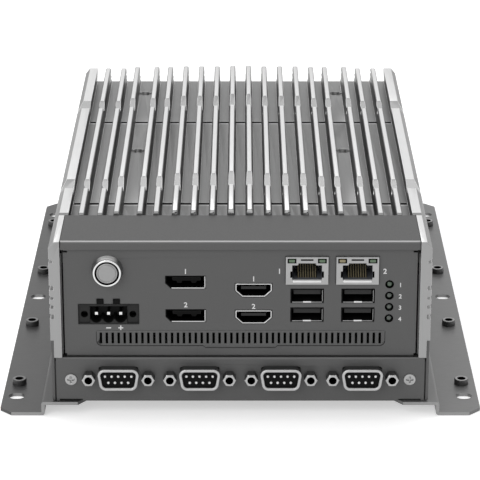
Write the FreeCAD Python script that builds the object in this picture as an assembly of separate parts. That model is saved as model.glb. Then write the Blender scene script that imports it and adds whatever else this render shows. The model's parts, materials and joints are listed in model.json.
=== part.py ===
"""Fanless industrial computer: a finned aluminium body on a sheet-metal tray with two side brackets.

Model axes while building: X across the front, Y from the front face backwards, Z up from the floor.
export() moves everything so that the origin is the centre of the bounding box's bottom face.
"""
import FreeCAD, Part
import math
import os

V = FreeCAD.Vector

# ---------------------------------------------------------------- driving dimensions, mm
SINK_LENGTH = 261.4          # front to back of the heat sink extrusion
SINK_HALF = 79.6             # half of its width over the side walls
SINK_WALL = 4.7              # side wall thickness
SINK_FLOOR = 25.75           # lower edge of the side walls
WALL_FOOT = 78.2             # outer face of a wall where the tray's side covers it
SINK_BASE_TOP = 70.6         # floor of the channels between the fins
SINK_BASE_BOTTOM = 64.6
BAR_TOP = 77.6               # top of the two edge bars
BAR_INNER = 73.4             # inner face of an edge bar
FIN_START = 34.0             # the fins begin just behind the hood
FIN_RISE = {4: 1.85, 12: 1.35, 20: 1.35, 28: 1.35, 36: 0.7, 43: 0.7, 53: 0.7, 60: 0.0, 68: 0.0}
FIN_ROOT_HALF = 1.75         # half thickness of a fin at its root
FIN_CREST_HALF = 1.25        # half thickness of a fin just under its bevelled crest
FIN_BEVEL = 0.45
RIDGE_COUNT = 2              # ridges along each flank of a fin
RIDGE_START = 2.9            # first ridge above the base
RIDGE_PITCH = 2.2
RIDGE_DEPTH = 0.45
END_FACE = 0.6               # upright part of a taller fin's end above the bars
END_SLOPE = 0.6              # its bevel, rise over run
GROOVE_WIDTH = 2.0           # groove across the base at each notch
GROOVE_DEPTH = 2.0
NOTCH_STARTS = (81.7, 202.6)  # where each saw-tooth notch leaves the bar top
NOTCH_LENGTH = 12.2
NOTCH_SLOPE = 0.30

SCREW_CORE = 2.4             # hexagonal core that stands for a threaded shank
PAN_HEAD = (4.8, 1.3)        # diameter and height of a screw's round head
SCREW_CHANNEL_X = 48.2       # wide channel with the sunk screws
SINK_SCREW_Y = (144.5, 239.0)
SINK_SCREW_SEAT = SINK_BASE_TOP - 2.8
SIDE_SCREW_Y = (40.0, 222.0)
SIDE_SCREW_Z = 29.7
WALL_SCREW_X = 76.8          # screws in the ends of the side walls
REAR_SCREW_Z = (31.0, 55.0)
EAR_SCREW = (71.4, 16.1)     # x and z of the lower front plate's end screws

SHEET = 1.2                  # steel sheet of hood, plates and tray
PLATE_FACE = 1.8             # front face of the port plate
PLATE_HALF = 73.7
PLATE_BOTTOM = 25.75          # it stands on the lower front plate's flange
HOOD_DEPTH = 33.4
HOOD_HALF = 74.7
LIP_BOTTOM = 74.0            # lower edge of the hood's front lip

FRONT_SHEET = 1.5            # the lower front plate
FRONT_HALF = 77.6
TRAY_BOTTOM = 6.1
TRAY_HALF = 79.4
TRAY_SIDE_TOP = 33.5
FRONT_TOP = 25.75
BODY_BACK = SINK_LENGTH + SHEET

BRACKET_SHEET = 1.4
BRACKET_FRONT = -1.2
BRACKET_BACK = 268.4
BRACKET_HALF = 102.0
BRACKET_INNER = 64.5
BRACKET_STEP = 84.2          # outer face of the joggle
BRACKET_LINE = 96.1          # slots and standoffs stand on this line
SLOT_CENTRES = (15.95, 133.25, 250.55)
SLOT_LENGTH = 7.0
SLOT_WIDTH = 6.0
STANDOFF_CENTRES = (29.4, 97.8, 166.2, 234.6)
BRACKET_SCREW_X = 72.0
BRACKET_SCREW_Y = (24.0, 133.25, 242.5)

BOARD_TOP = 40.5             # upper face of the mainboard
BOARD_SHEET = 1.6
BOARD_BACK = 175.0
COM_BOARD_TOP = 11.3         # upper face of the serial board

SERIAL_X = (-51.3, -17.1, 17.1, 51.3)
SERIAL_Z = 17.4
SERIAL_PROUD = 4.7
JACK_SCREW_OFFSET = 12.5
USB_X = (27.9, 49.15)
USB_Z = (44.65, 53.05)
LAN_X = (27.75, 48.75)
LAN_Z = 64.55
LAN_WIDTH = 17.7
LAN_HEIGHT = 12.1
VIDEO_X = 5.55
VIDEO_Z = (43.6, 55.6)
DISPLAY_X = -22.8
DISPLAY_Z = (44.1, 59.1)
DC_X = -55.1
DC_Z = 44.9
DC_PITCH = 5.08
STATUS_X = 62.2
STATUS_Z = (58.25, 53.15, 48.1, 43.0)
BUTTON_X = -55.3
BUTTON_Z = 64.4
BUTTON_PROUD = 3.9
BUTTON_TRAVEL = 1.5

VENT_COUNT = 48
VENT_PITCH = 2.49
VENT_WIDTH = 1.0
VENT_Z = (31.8, 36.6)
VENT_RAISED = 0.3

FRAME_Y = 131.75             # middle of the bounding box along Y


# ---------------------------------------------------------------- shape helpers
def box(x0, x1, y0, y1, z0, z1):
    """Rectangular block between two opposite corners."""
    return Part.makeBox(x1 - x0, y1 - y0, z1 - z0, V(x0, y0, z0))


def rod(x, z, radius, y0, y1):
    """Cylinder along Y."""
    return Part.makeCylinder(radius, y1 - y0, V(x, y0, z), V(0, 1, 0))


def post(x, y, radius, z0, z1):
    """Cylinder along Z."""
    return Part.makeCylinder(radius, z1 - z0, V(x, y, z0), V(0, 0, 1))


def turned(x, z, profile):
    """Solid of revolution about a line along Y; profile is (y, radius) pairs of a closed half section."""
    points = [V(x + r, y, z) for y, r in profile]
    face = Part.Face(Part.makePolygon(points + points[:1]))
    return face.revolve(V(x, 0, z), V(0, 1, 0), 360)


def front_prism(points, y0, y1):
    """Outline of (x, z) points carried along Y."""
    corners = [V(x, y0, z) for x, z in points]
    face = Part.Face(Part.makePolygon(corners + corners[:1]))
    return face.extrude(V(0, y1 - y0, 0))


def side_prism(points, x0, x1):
    """Outline of (y, z) points carried along X."""
    corners = [V(x0, y, z) for y, z in points]
    face = Part.Face(Part.makePolygon(corners + corners[:1]))
    return face.extrude(V(x1 - x0, 0, 0))


def plan_prism(points, z0, z1):
    """Outline of (x, y) points carried along Z."""
    corners = [V(x, y, z0) for x, y in points]
    face = Part.Face(Part.makePolygon(corners + corners[:1]))
    return face.extrude(V(0, 0, z1 - z0))


def round_along_y(shape, radius, keep=lambda p: True):
    """Fillet the straight edges that run along Y and whose middle point passes keep."""
    edges = []
    for edge in shape.Edges:
        a, b = edge.Vertexes[0].Point, edge.Vertexes[-1].Point
        straight = abs(a.x - b.x) < 1e-6 and abs(a.z - b.z) < 1e-6 and abs(a.y - b.y) > 1e-6
        if straight and keep((a + b) * 0.5):
            edges.append(edge)
    return shape.makeFillet(radius, edges)


def rounded_block(x, z, width, height, radius, y0, y1):
    """Block centred on x, z whose four edges along Y are rounded."""
    block = box(x - width / 2, x + width / 2, y0, y1, z - height / 2, z + height / 2)
    return round_along_y(block, radius)


def flat_sided_bar(start, direction, radius, sides, length):
    """Regular bar from the point start along direction; small repeated round pieces are twelve-sided."""
    up = V(0, 1, 0) if abs(direction.z) > 0.5 else V(0, 0, 1)
    other = direction.cross(up)
    corners = []
    for k in range(sides):
        angle = 2 * math.pi * k / sides
        corners.append(start + up * (radius * math.cos(angle)) + other * (radius * math.sin(angle)))
    return Part.Face(Part.makePolygon(corners + corners[:1])).extrude(direction * length)


def hex_bar(start, direction, across_flats, length):
    """Hexagonal bar with two corners on the Z or Y side."""
    return flat_sided_bar(start, direction, across_flats / math.sqrt(3.0), 6, length)


def cut_all(shape, tools):
    """Cut several tools away in one boolean."""
    return shape.cut(Part.makeCompound(list(tools)))


def side_box(side, near, far, y0, y1, z0, z1):
    """Block between two distances from the middle plane, on the right for side 1 and the left for -1."""
    return box(min(side * near, side * far), max(side * near, side * far), y0, y1, z0, z1)


def screw(seat, direction, head, length):
    """Screw whose round head sits on the point seat: the shank is a hexagonal bar, with no thread.

    head is (diameter, height).
    """
    cap = flat_sided_bar(seat - direction * head[1], direction, head[0] / 2, 12, head[1])
    return cap.fuse(hex_bar(seat, direction, SCREW_CORE, length)).removeSplitter()


def hex_screw(seat, direction, length):
    """Small hexagon-headed screw seated on the point seat."""
    head = hex_bar(seat - direction * 1.5, direction, 4.5, 1.5)
    return head.fuse(hex_bar(seat, direction, SCREW_CORE, length)).removeSplitter()


def screw_hole(seat, direction, length):
    """Cutter for the shank of a screw that starts at seat."""
    return hex_bar(seat - direction * 0.01, direction, SCREW_CORE, length + 0.01)


# ---------------------------------------------------------------- heat sink
def fin_half_width(z, top):
    """Tapered envelope of a fin: root half width at the base, crest half width at the top."""
    share = (z - SINK_BASE_TOP) / (top - SINK_BASE_TOP)
    return FIN_ROOT_HALF + (FIN_CREST_HALF - FIN_ROOT_HALF) * share


def fin_outline(x, rise):
    """Outline of one fin from its left foot over the bevelled crest to its right foot.

    Ridges run along each flank. Those on the right sit half a pitch lower than those on the left.
    """
    top = BAR_TOP + rise
    left = []
    right = []
    for k in range(RIDGE_COUNT):
        valley = SINK_BASE_TOP + RIDGE_START + RIDGE_PITCH * k
        crest = valley + RIDGE_PITCH * 0.3
        left.append((x - fin_half_width(valley, top) + RIDGE_DEPTH, valley))
        left.append((x - fin_half_width(crest, top), crest))
        valley -= RIDGE_PITCH * 0.5
        crest -= RIDGE_PITCH * 0.5
        right.append((x + fin_half_width(valley, top) - RIDGE_DEPTH, valley))
        right.append((x + fin_half_width(crest, top), crest))
    left += [(x - FIN_CREST_HALF, top - FIN_BEVEL), (x - FIN_CREST_HALF + FIN_BEVEL, top)]
    right += [(x + FIN_CREST_HALF, top - FIN_BEVEL), (x + FIN_CREST_HALF - FIN_BEVEL, top)]
    return [(x - FIN_ROOT_HALF, SINK_BASE_TOP)] + left + right[::-1] + [(x + FIN_ROOT_HALF, SINK_BASE_TOP)]


def wall_outline(side):
    """Outer side of one wall from its lower edge to the bar's top, with five long grooves."""
    deep = SINK_HALF - 1.7
    grooves = ((68.3, 70.1, 1.1), (56.2, 58.3, 0.2), (52.1, 53.7, 0.8), (48.0, 50.0, 0.8), (43.3, 45.5, 0.2))
    points = [(WALL_FOOT, SINK_FLOOR), (WALL_FOOT, TRAY_SIDE_TOP + 0.1),
              (SINK_HALF, TRAY_SIDE_TOP + 0.1)]
    for low, high, flare in grooves[::-1]:
        points += [(SINK_HALF, low), (deep, low + 0.1), (deep, high - flare), (SINK_HALF, high)]
    points += [(SINK_HALF, BAR_TOP - 2.8), (SINK_HALF - 2.3, BAR_TOP)]
    return [(side * x, z) for x, z in points]


def end_bevel(y, direction):
    """Wedge that bevels the taller fins' ends above the bars' level."""
    reach = 8.0
    low = BAR_TOP + END_FACE
    high = low + reach * END_SLOPE
    return side_prism([(y, low), (y + direction * reach, high), (y, high)], -SINK_HALF + 3, SINK_HALF - 3)


def heat_sink():
    """One extrusion: two grooved side walls, a base plate and eighteen ridged fins.

    The base and the fins stop behind the hood. Two saw-tooth notches cross fins and bars.
    """
    centres = sorted([x for x in FIN_RISE] + [-x for x in FIN_RISE])
    inner = SINK_HALF - SINK_WALL
    outline = wall_outline(-1) + [(-BAR_INNER, BAR_TOP), (-BAR_INNER - 0.4, SINK_BASE_TOP)]
    for x in centres:
        outline += fin_outline(x, FIN_RISE[abs(x)])
    outline += [(BAR_INNER + 0.4, SINK_BASE_TOP), (BAR_INNER, BAR_TOP)] + wall_outline(1)[::-1]
    outline += [(inner, SINK_FLOOR), (inner, SINK_BASE_BOTTOM - 2.5), (inner - 2.5, SINK_BASE_BOTTOM),
                (2.5 - inner, SINK_BASE_BOTTOM), (-inner, SINK_BASE_BOTTOM - 2.5), (-inner, SINK_FLOOR)]
    body = front_prism(outline, 0, SINK_LENGTH)

    over = 4.0
    tools = [box(-inner, inner, -1, FIN_START, SINK_FLOOR - 1, BAR_TOP + over)]
    for start in NOTCH_STARTS:
        riser = start - NOTCH_LENGTH
        tools.append(side_prism([(riser, BAR_TOP - NOTCH_SLOPE * NOTCH_LENGTH), (riser, BAR_TOP + over),
                                 (start + over / NOTCH_SLOPE, BAR_TOP + over)], -SINK_HALF - 1, SINK_HALF + 1))
        tools.append(box(-BAR_INNER, BAR_INNER, riser - 1.6, riser - 1.6 + GROOVE_WIDTH,
                         SINK_BASE_TOP - GROOVE_DEPTH, SINK_BASE_TOP + 0.1))
    tools.append(end_bevel(FIN_START - 0.4, 1))
    tools.append(end_bevel(SINK_LENGTH, -1))
    for side in (1, -1):
        for y in SINK_SCREW_Y:
            x = side * SCREW_CHANNEL_X
            tools.append(flat_sided_bar(V(x, y, SINK_SCREW_SEAT), V(0, 0, 1), 3.2, 12, 5.0))
            tools.append(screw_hole(V(x, y, SINK_SCREW_SEAT), V(0, 0, -1), 6.0))
        for y in SIDE_SCREW_Y:
            tools.append(screw_hole(V(side * WALL_FOOT, y, SIDE_SCREW_Z), V(-side, 0, 0), 3.0))
        for z in REAR_SCREW_Z:
            tools.append(screw_hole(V(side * WALL_SCREW_X, SINK_LENGTH, z), V(0, -1, 0), 6.0))
    return cut_all(body, tools)


def heat_sink_screws():
    """Four screws sunk in the wide channels: they pull the heat spreader and the drive cradle up."""
    return [screw(V(side * SCREW_CHANNEL_X, y, SINK_SCREW_SEAT), V(0, 0, -1), (5.9, 1.6), 9.0)
            for side in (1, -1) for y in SINK_SCREW_Y]


# ---------------------------------------------------------------- covers and plates
def hood():
    """Folded sheet over the connectors: top, sloped front lip with a bevelled edge, two side flanges."""
    top = BAR_TOP
    outline = [(HOOD_DEPTH, top), (1.7, top), (0.8, top - 0.9), (0.3, LIP_BOTTOM), (1.5, LIP_BOTTOM),
               (PLATE_FACE, top - SHEET), (HOOD_DEPTH, top - SHEET)]
    shell = side_prism(outline, -HOOD_HALF, HOOD_HALF)
    flanges = [side_box(side, PLATE_HALF, HOOD_HALF, 6.0, HOOD_DEPTH - 2, 66.0, top - SHEET / 2)
               for side in (1, -1)]
    return shell.multiFuse(flanges).removeSplitter()


def d_outline(x, z, width, height, corner):
    """D shape: the wide side is up, the flanks lean in by 10 degrees, three points round each corner."""
    lean = height * math.tan(math.radians(10.0))
    points = [V(x - width / 2, 0, z + height / 2), V(x + width / 2, 0, z + height / 2),
              V(x + width / 2 - lean, 0, z - height / 2), V(x - width / 2 + lean, 0, z - height / 2)]
    rounded = []
    for k, point in enumerate(points):
        before = points[k - 1] - point
        after = points[(k + 1) % 4] - point
        start = point + before.normalize() * corner
        end = point + after.normalize() * corner
        rounded += [start, (start + end + point * 2) * 0.25, end]
    return [(q.x, q.z) for q in rounded]


def video_outline(x, z, width, height):
    """Video socket outline: both lower corners are cut off below half height."""
    a, b = width / 2, height / 2
    cut = height * 0.45
    return [(x - a, z + b), (x + a, z + b), (x + a, z - b + cut),
            (x + a - cut * 1.1, z - b), (x - a + cut * 1.1, z - b), (x - a, z - b + cut)]


def display_outline(x, z, width, height):
    """Display socket outline: only the lower left corner is cut off."""
    a, b = width / 2, height / 2
    cut = height * 0.42
    return [(x - a, z + b), (x + a, z + b), (x + a, z - b), (x - a + cut, z - b), (x - a, z - b + cut)]


def port_cutters(y0, y1):
    """Every opening in the port plate, each a little larger than the socket behind it."""
    cutters = [box(x - 7.0, x + 7.0, y0, y1, z - 3.25, z + 3.25) for x in USB_X for z in USB_Z]
    cutters += [box(x - LAN_WIDTH / 2 - 0.15, x + LAN_WIDTH / 2 + 0.15, y0, y1,
                    LAN_Z - LAN_HEIGHT / 2 - 0.15, LAN_Z + LAN_HEIGHT / 2 + 0.15) for x in LAN_X]
    cutters += [front_prism(video_outline(VIDEO_X, z, 15.7, 6.4), y0, y1) for z in VIDEO_Z]
    cutters += [front_prism(display_outline(DISPLAY_X, z, 17.0, 5.9), y0, y1) for z in DISPLAY_Z]
    cutters += [flat_sided_bar(V(STATUS_X, y0, z), V(0, 1, 0), 1.8, 12, y1 - y0) for z in STATUS_Z]
    cutters.append(rod(BUTTON_X, BUTTON_Z, 5.5, y0, y1))
    cutters.append(box(DC_X - 12.8, DC_X + 12.8, y0, y1, DC_Z - 4.6, DC_Z + 4.6))
    for x in (DC_X - 3.5, DC_X + 3.35):
        cutters.append(box(x - 1.45, x + 1.45, y0, y1, DC_Z + 4.5, DC_Z + 6.9))
    return cutters


def slot_row(count, pitch, width, z0, z1, y0, y1):
    """A row of upright slots centred on X = 0."""
    middles = [(k - (count - 1) / 2) * pitch for k in range(count)]
    return [box(x - width / 2, x + width / 2, y0, y1, z0, z1) for x in middles]


def port_plate():
    """Folded sheet with the sockets' openings, a shallow raised vent field and three flanges."""
    y0 = PLATE_FACE
    y1 = y0 + SHEET
    panel = box(-PLATE_HALF, PLATE_HALF, y0, y1, PLATE_BOTTOM, 75.9)
    floor = box(-PLATE_HALF, PLATE_HALF, y0, y0 + 11.0, PLATE_BOTTOM, PLATE_BOTTOM + SHEET)
    wings = [side_box(side, PLATE_HALF - SHEET, PLATE_HALF, y0, y0 + 11.0, PLATE_BOTTOM, 75.9) for side in (1, -1)]
    body = panel.multiFuse([floor] + wings).removeSplitter()
    fold = [e for e in body.Edges if all(abs(v.Point.y - y0) < 1e-6 and abs(v.Point.z - PLATE_BOTTOM) < 1e-6
                                         for v in e.Vertexes)]
    body = body.makeChamfer(0.6, fold)
    high = VENT_Z[1] + 0.9
    low = VENT_Z[0] - 0.9
    drop = 0.9
    left, right, middle = -60.3, 60.6, 14.6
    field = [(left, high), (right, high), (right, low + 2.0), (right - 2.0, low), (middle + 1, low),
             (middle, low - drop), (-middle, low - drop), (-middle - 1, low), (left + 2.0, low),
             (left, low + 2.0)]
    body = body.fuse(front_prism(field, y0 - VENT_RAISED, y0 + 0.1))
    tools = port_cutters(y0 - 2, y1 + 1)
    tools += slot_row(VENT_COUNT, VENT_PITCH, VENT_WIDTH, VENT_Z[0], VENT_Z[1], y0 - 2, y1 + 1)
    for side in (1, -1):
        tools.append(side_box(side, 71.9, 75, y0 - 1, y1 + 1, 72.4, 73.1))
        tools.append(side_box(side, 72.9, 75, y0 - 1, y0 + 12, PLATE_BOTTOM - 1, PLATE_BOTTOM + 1.4))
    return cut_all(body, tools)


def com_front_plate():
    """Lower front plate with four serial openings and a folded top flange."""
    plate = box(-FRONT_HALF, FRONT_HALF, 0, FRONT_SHEET, TRAY_BOTTOM + 0.05, FRONT_TOP)
    flange = box(-FRONT_HALF, FRONT_HALF, 0, 10.0, FRONT_TOP - FRONT_SHEET, FRONT_TOP)
    body = plate.fuse(flange).removeSplitter()
    edge = [e for e in body.Edges if all(abs(v.Point.y) < 1e-6 and abs(v.Point.z - FRONT_TOP) < 1e-6
                                         for v in e.Vertexes)]
    body = body.makeChamfer(0.7, edge)
    tools = []
    for x in SERIAL_X:
        tools.append(front_prism(d_outline(x, SERIAL_Z, 17.6, 9.1, 2.2), -1, FRONT_SHEET + 1))
        for side in (1, -1):
            tools.append(screw_hole(V(x + side * JACK_SCREW_OFFSET, 0, SERIAL_Z), V(0, 1, 0), FRONT_SHEET + 1))
    for side in (1, -1):
        tools.append(screw_hole(V(side * EAR_SCREW[0], 0, EAR_SCREW[1]), V(0, 1, 0), FRONT_SHEET + 1))
        tools.append(side_box(side, 66.6, 76.3, -1, FRONT_SHEET + 1, TRAY_BOTTOM - 1, TRAY_BOTTOM + 0.95))
    return cut_all(body, tools)


def chassis_tray():
    """Folded steel tray: bottom, two sides, a back wall and two front ears for the plate's screws."""
    bottom = box(-TRAY_HALF, TRAY_HALF, FRONT_SHEET, BODY_BACK, TRAY_BOTTOM, TRAY_BOTTOM + SHEET)
    sides = [side_box(s, TRAY_HALF - SHEET, TRAY_HALF, 0.5, BODY_BACK, TRAY_BOTTOM, TRAY_SIDE_TOP) for s in (1, -1)]
    back = box(-TRAY_HALF, TRAY_HALF, BODY_BACK - SHEET, BODY_BACK, TRAY_BOTTOM, SINK_FLOOR - 0.15)
    ears = [side_box(s, 67.2, TRAY_HALF, FRONT_SHEET, FRONT_SHEET + SHEET, TRAY_BOTTOM, 23.8) for s in (1, -1)]
    body = bottom.multiFuse(sides + [back] + ears).removeSplitter()
    body = round_along_y(body, 1.0, lambda p: abs(abs(p.x) - TRAY_HALF) < 1e-6 and abs(p.z - TRAY_BOTTOM) < 1e-6)
    tools = slot_row(16, 7.0, 2.2, 11.0, 21.0, BODY_BACK - 3, BODY_BACK + 1)
    for side in (1, -1):
        tools.append(screw_hole(V(side * EAR_SCREW[0], 0, EAR_SCREW[1]), V(0, 1, 0), 6))
        for y in SIDE_SCREW_Y:
            tools.append(screw_hole(V(side * TRAY_HALF, y, SIDE_SCREW_Z), V(-side, 0, 0), 3))
        for y in BRACKET_SCREW_Y:
            tools.append(screw_hole(V(side * BRACKET_SCREW_X, y, TRAY_BOTTOM), V(0, 0, 1), 3))
    return cut_all(body, tools)


def rear_panel():
    """Plain closing plate behind the extrusion, with one field of vent slots."""
    body = box(-77.4, 77.4, SINK_LENGTH, BODY_BACK, 26.1, SINK_BASE_TOP - 0.4)
    tools = slot_row(16, 7.0, 2.2, 37.0, 59.0, SINK_LENGTH - 1, BODY_BACK + 1)
    for side in (1, -1):
        for z in REAR_SCREW_Z:
            tools.append(screw_hole(V(side * WALL_SCREW_X, BODY_BACK, z), V(0, -1, 0), 3))
    return cut_all(body, tools)


def front_plate_screws():
    """Two low round-headed screws at the ends of the lower front plate."""
    return [screw(V(side * EAR_SCREW[0], 0, EAR_SCREW[1]), V(0, 1, 0), (5.0, 0.9), 6.0) for side in (1, -1)]


def side_screws():
    """Four screws that hold the tray's sides to the extrusion's walls."""
    return [screw(V(side * TRAY_HALF, y, SIDE_SCREW_Z), V(-side, 0, 0), (4.8, 0.9), 4.0)
            for side in (1, -1) for y in SIDE_SCREW_Y]


def rear_screws():
    """Four screws that hold the rear panel to the ends of the walls."""
    return [screw(V(side * WALL_SCREW_X, BODY_BACK, z), V(0, -1, 0), PAN_HEAD, 7.0)
            for side in (1, -1) for z in REAR_SCREW_Z]


# ---------------------------------------------------------------- brackets
def bracket(side):
    """Folded bracket: foot under the tray, step down, wide flange with three oblong slots."""
    t = BRACKET_SHEET
    foot_top = TRAY_BOTTOM
    outline = [(BRACKET_INNER, foot_top), (BRACKET_STEP, foot_top), (BRACKET_STEP, t), (BRACKET_HALF, t),
               (BRACKET_HALF, 0), (BRACKET_STEP - t, 0), (BRACKET_STEP - t, foot_top - t),
               (BRACKET_INNER, foot_top - t)]
    body = front_prism(outline, BRACKET_FRONT, BRACKET_BACK)
    body = round_along_y(body, 1.2, lambda p: abs(p.x - BRACKET_STEP) < 1e-6 and p.z > t + 1
                         or abs(p.x - BRACKET_STEP + t) < 1e-6 and p.z < 1e-6)
    corner = 5.0
    tools = []
    for y, d in ((BRACKET_FRONT, 1), (BRACKET_BACK, -1)):
        tools.append(plan_prism([(BRACKET_HALF - corner, y), (BRACKET_HALF + 1, y + d * (corner + 1)),
                                 (BRACKET_HALF + 1, y - d)], -1, 10))
        tools.append(plan_prism([(BRACKET_INNER - 1, y - d), (BRACKET_INNER + 5, y - d),
                                 (BRACKET_INNER - 1, y + d * 7)], -1, 10))
    for y in SLOT_CENTRES:
        run = (SLOT_LENGTH - SLOT_WIDTH) / 2
        slot = box(BRACKET_LINE - run, BRACKET_LINE + run, y - SLOT_WIDTH / 2, y + SLOT_WIDTH / 2, -1, 3)
        ends = [post(BRACKET_LINE + s * run, y, SLOT_WIDTH / 2, -1, 3) for s in (1, -1)]
        tools.append(slot.multiFuse(ends).removeSplitter())
    tools += [screw_hole(V(BRACKET_SCREW_X, y, 0), V(0, 0, 1), 10) for y in BRACKET_SCREW_Y]
    body = cut_all(body, tools)
    if side < 0:
        body = body.mirror(V(0, 0, 0), V(1, 0, 0))
    return body


def bracket_standoffs():
    """Eight blind threaded standoffs on the flanges."""
    parts = []
    for side in (1, -1):
        for y in STANDOFF_CENTRES:
            x = side * BRACKET_LINE
            barrel = flat_sided_bar(V(x, y, BRACKET_SHEET), V(0, 0, 1), 3.1, 12, 2.5)
            parts.append(barrel.cut(post(x, y, 1.55, BRACKET_SHEET + 0.4, 6.0)))
    return parts


def bracket_screws():
    """Six screws that hold the brackets' feet to the tray from below."""
    seat = TRAY_BOTTOM - BRACKET_SHEET
    return [screw(V(side * BRACKET_SCREW_X, y, seat), V(0, 0, 1), PAN_HEAD, 4.2)
            for side in (1, -1) for y in BRACKET_SCREW_Y]


# ---------------------------------------------------------------- sockets on the port plate
def lan_opening(x, z, y0, y1):
    """Cavity for the plug: a wide mouth with two steps above it for the plug's latch."""
    low = z - LAN_HEIGHT / 2 + 2.1
    points = [(x - 6.2, low), (x + 6.2, low), (x + 6.2, low + 6.4), (x + 3.6, low + 6.4), (x + 3.6, low + 7.7),
              (x + 2.35, low + 7.7), (x + 2.35, low + 8.7), (x - 2.35, low + 8.7), (x - 2.35, low + 7.7),
              (x - 3.6, low + 7.7), (x - 3.6, low + 6.4), (x - 6.2, low + 6.4)]
    return front_prism(points, y0, y1)


LAN_FACE = PLATE_FACE - 0.35
LAN_DEPTH = 19.0
LAN_CAVITY = 12.5
WINDOW_OFFSET = 6.25
WINDOW_RISE = 4.45


def lan_shields():
    """Two metal shells with the plug opening, two window openings and a rolled lower lip."""
    shells = []
    for x in LAN_X:
        low = LAN_Z - LAN_HEIGHT / 2
        outer = box(x - LAN_WIDTH / 2, x + LAN_WIDTH / 2, LAN_FACE, LAN_FACE + LAN_DEPTH, low, low + LAN_HEIGHT)
        inner = box(x - LAN_WIDTH / 2 + 0.4, x + LAN_WIDTH / 2 - 0.4, LAN_FACE + 0.4, LAN_FACE + LAN_DEPTH + 1,
                    low + 0.4, low + LAN_HEIGHT - 0.4)
        tools = [inner, lan_opening(x, LAN_Z, LAN_FACE - 1, LAN_FACE + 2)]
        for side in (1, -1):
            tools.append(box(x + side * WINDOW_OFFSET - 1.85, x + side * WINDOW_OFFSET + 1.85, LAN_FACE - 1,
                             LAN_FACE + 2, LAN_Z + WINDOW_RISE - 1.05, LAN_Z + WINDOW_RISE + 1.05))
            notch = sorted((x + side * 6.1, x + side * 6.75))
            tools.append(box(notch[0], notch[1], LAN_FACE - 1, LAN_FACE + 2, LAN_Z - 1.9, LAN_Z + 0.7))
        lip = flat_sided_bar(V(x - 6.0, LAN_FACE + 0.1, low + 1.25), V(1, 0, 0), 0.55, 12, 12.0)
        lip = lip.common(box(x - 7, x + 7, LAN_FACE - 2, LAN_FACE + 0.3, low, low + 3))
        shells.append(cut_all(outer, tools).fuse(lip).removeSplitter())
    return shells


def lan_inserts():
    """Two moulded bodies inside the shells, each with the plug cavity and two window pockets."""
    parts = []
    for x in LAN_X:
        low = LAN_Z - LAN_HEIGHT / 2 + 0.4
        block = box(x - LAN_WIDTH / 2 + 0.4, x + LAN_WIDTH / 2 - 0.4, LAN_FACE + 0.4, LAN_FACE + LAN_DEPTH - 0.5,
                    low, low + LAN_HEIGHT - 0.8)
        tools = [lan_opening(x, LAN_Z, LAN_FACE - 1, LAN_FACE + LAN_CAVITY)]
        for side in (1, -1):
            tools.append(box(x + side * WINDOW_OFFSET - 1.7, x + side * WINDOW_OFFSET + 1.7, LAN_FACE - 1,
                             LAN_FACE + 3.0, LAN_Z + WINDOW_RISE - 0.9, LAN_Z + WINDOW_RISE + 0.9))
            notch = sorted((x + side * 6.1, x + side * 6.7))
            tools.append(box(notch[0], notch[1], LAN_FACE - 1, LAN_FACE + 3, LAN_Z - 1.9, LAN_Z + 0.7))
        parts.append(cut_all(block, tools))
    return parts


def lan_contacts():
    """Sixteen sprung wires: each leans from the cavity's floor up to its back wall."""
    wires = []
    low = LAN_Z - LAN_HEIGHT / 2 + 2.1
    back = LAN_FACE + LAN_CAVITY
    path = [(back, low + 6.0), (back - 2.6, low), (back - 2.1, low), (back, low + 4.9)]
    for x in LAN_X:
        for k in range(8):
            middle = x + (k - 3.5) * 1.02
            wires.append(side_prism(path, middle - 0.22, middle + 0.22))
    return wires


def lan_windows(slots):
    """Small light windows; slots lists which jack and side each one belongs to."""
    parts = []
    for jack, side in slots:
        x = LAN_X[jack] + side * WINDOW_OFFSET
        z = LAN_Z + WINDOW_RISE
        parts.append(box(x - 1.7, x + 1.7, LAN_FACE + 0.75, LAN_FACE + 3.0, z - 0.9, z + 0.9))
    return parts


USB_HALF = (6.85, 3.15)
USB_DEPTH = 14.0


def usb_shells():
    """Four drawn shells, open at the front, each with a sprung tab in its floor."""
    y0 = PLATE_FACE + 0.3
    parts = []
    for x in USB_X:
        for z in USB_Z:
            outer = box(x - USB_HALF[0], x + USB_HALF[0], y0, y0 + USB_DEPTH, z - USB_HALF[1], z + USB_HALF[1])
            inner = box(x - 6.5, x + 6.5, y0 - 1, y0 + USB_DEPTH - 0.5, z - 2.8, z + 2.8)
            tab = box(x - 1.7, x + 1.7, y0 + 0.2, y0 + 5.0, z - 3.1, z - 2.45)
            parts.append(outer.cut(inner).fuse(tab).removeSplitter())
    return parts


def usb_tongues():
    """Four contact tongues in the upper half of the shells."""
    y0 = PLATE_FACE + 0.3
    parts = []
    for x in USB_X:
        for z in USB_Z:
            root = box(x - 6.5, x + 6.5, y0 + 11.5, y0 + 13.5, z - 2.8, z + 2.8)
            tongue = box(x - 5.6, x + 5.6, y0 + 1.4, y0 + 11.5, z + 0.2, z + 2.1)
            parts.append(tongue.fuse(root).removeSplitter())
    return parts


def shell_from(outline, x, z, width, height, wall, y0, depth):
    """Open-fronted shell that follows a socket outline."""
    outer = front_prism(outline(x, z, width, height), y0, y0 + depth)
    inner = front_prism(outline(x, z, width - 2 * wall, height - 2 * wall), y0 - 1, y0 + depth - 1)
    return outer.cut(inner)


def video_shells():
    """Two video sockets' shells."""
    return [shell_from(video_outline, VIDEO_X, z, *VIDEO_SHELL, 0.5, PLATE_FACE - 0.1, 12.0) for z in VIDEO_Z]


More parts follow.
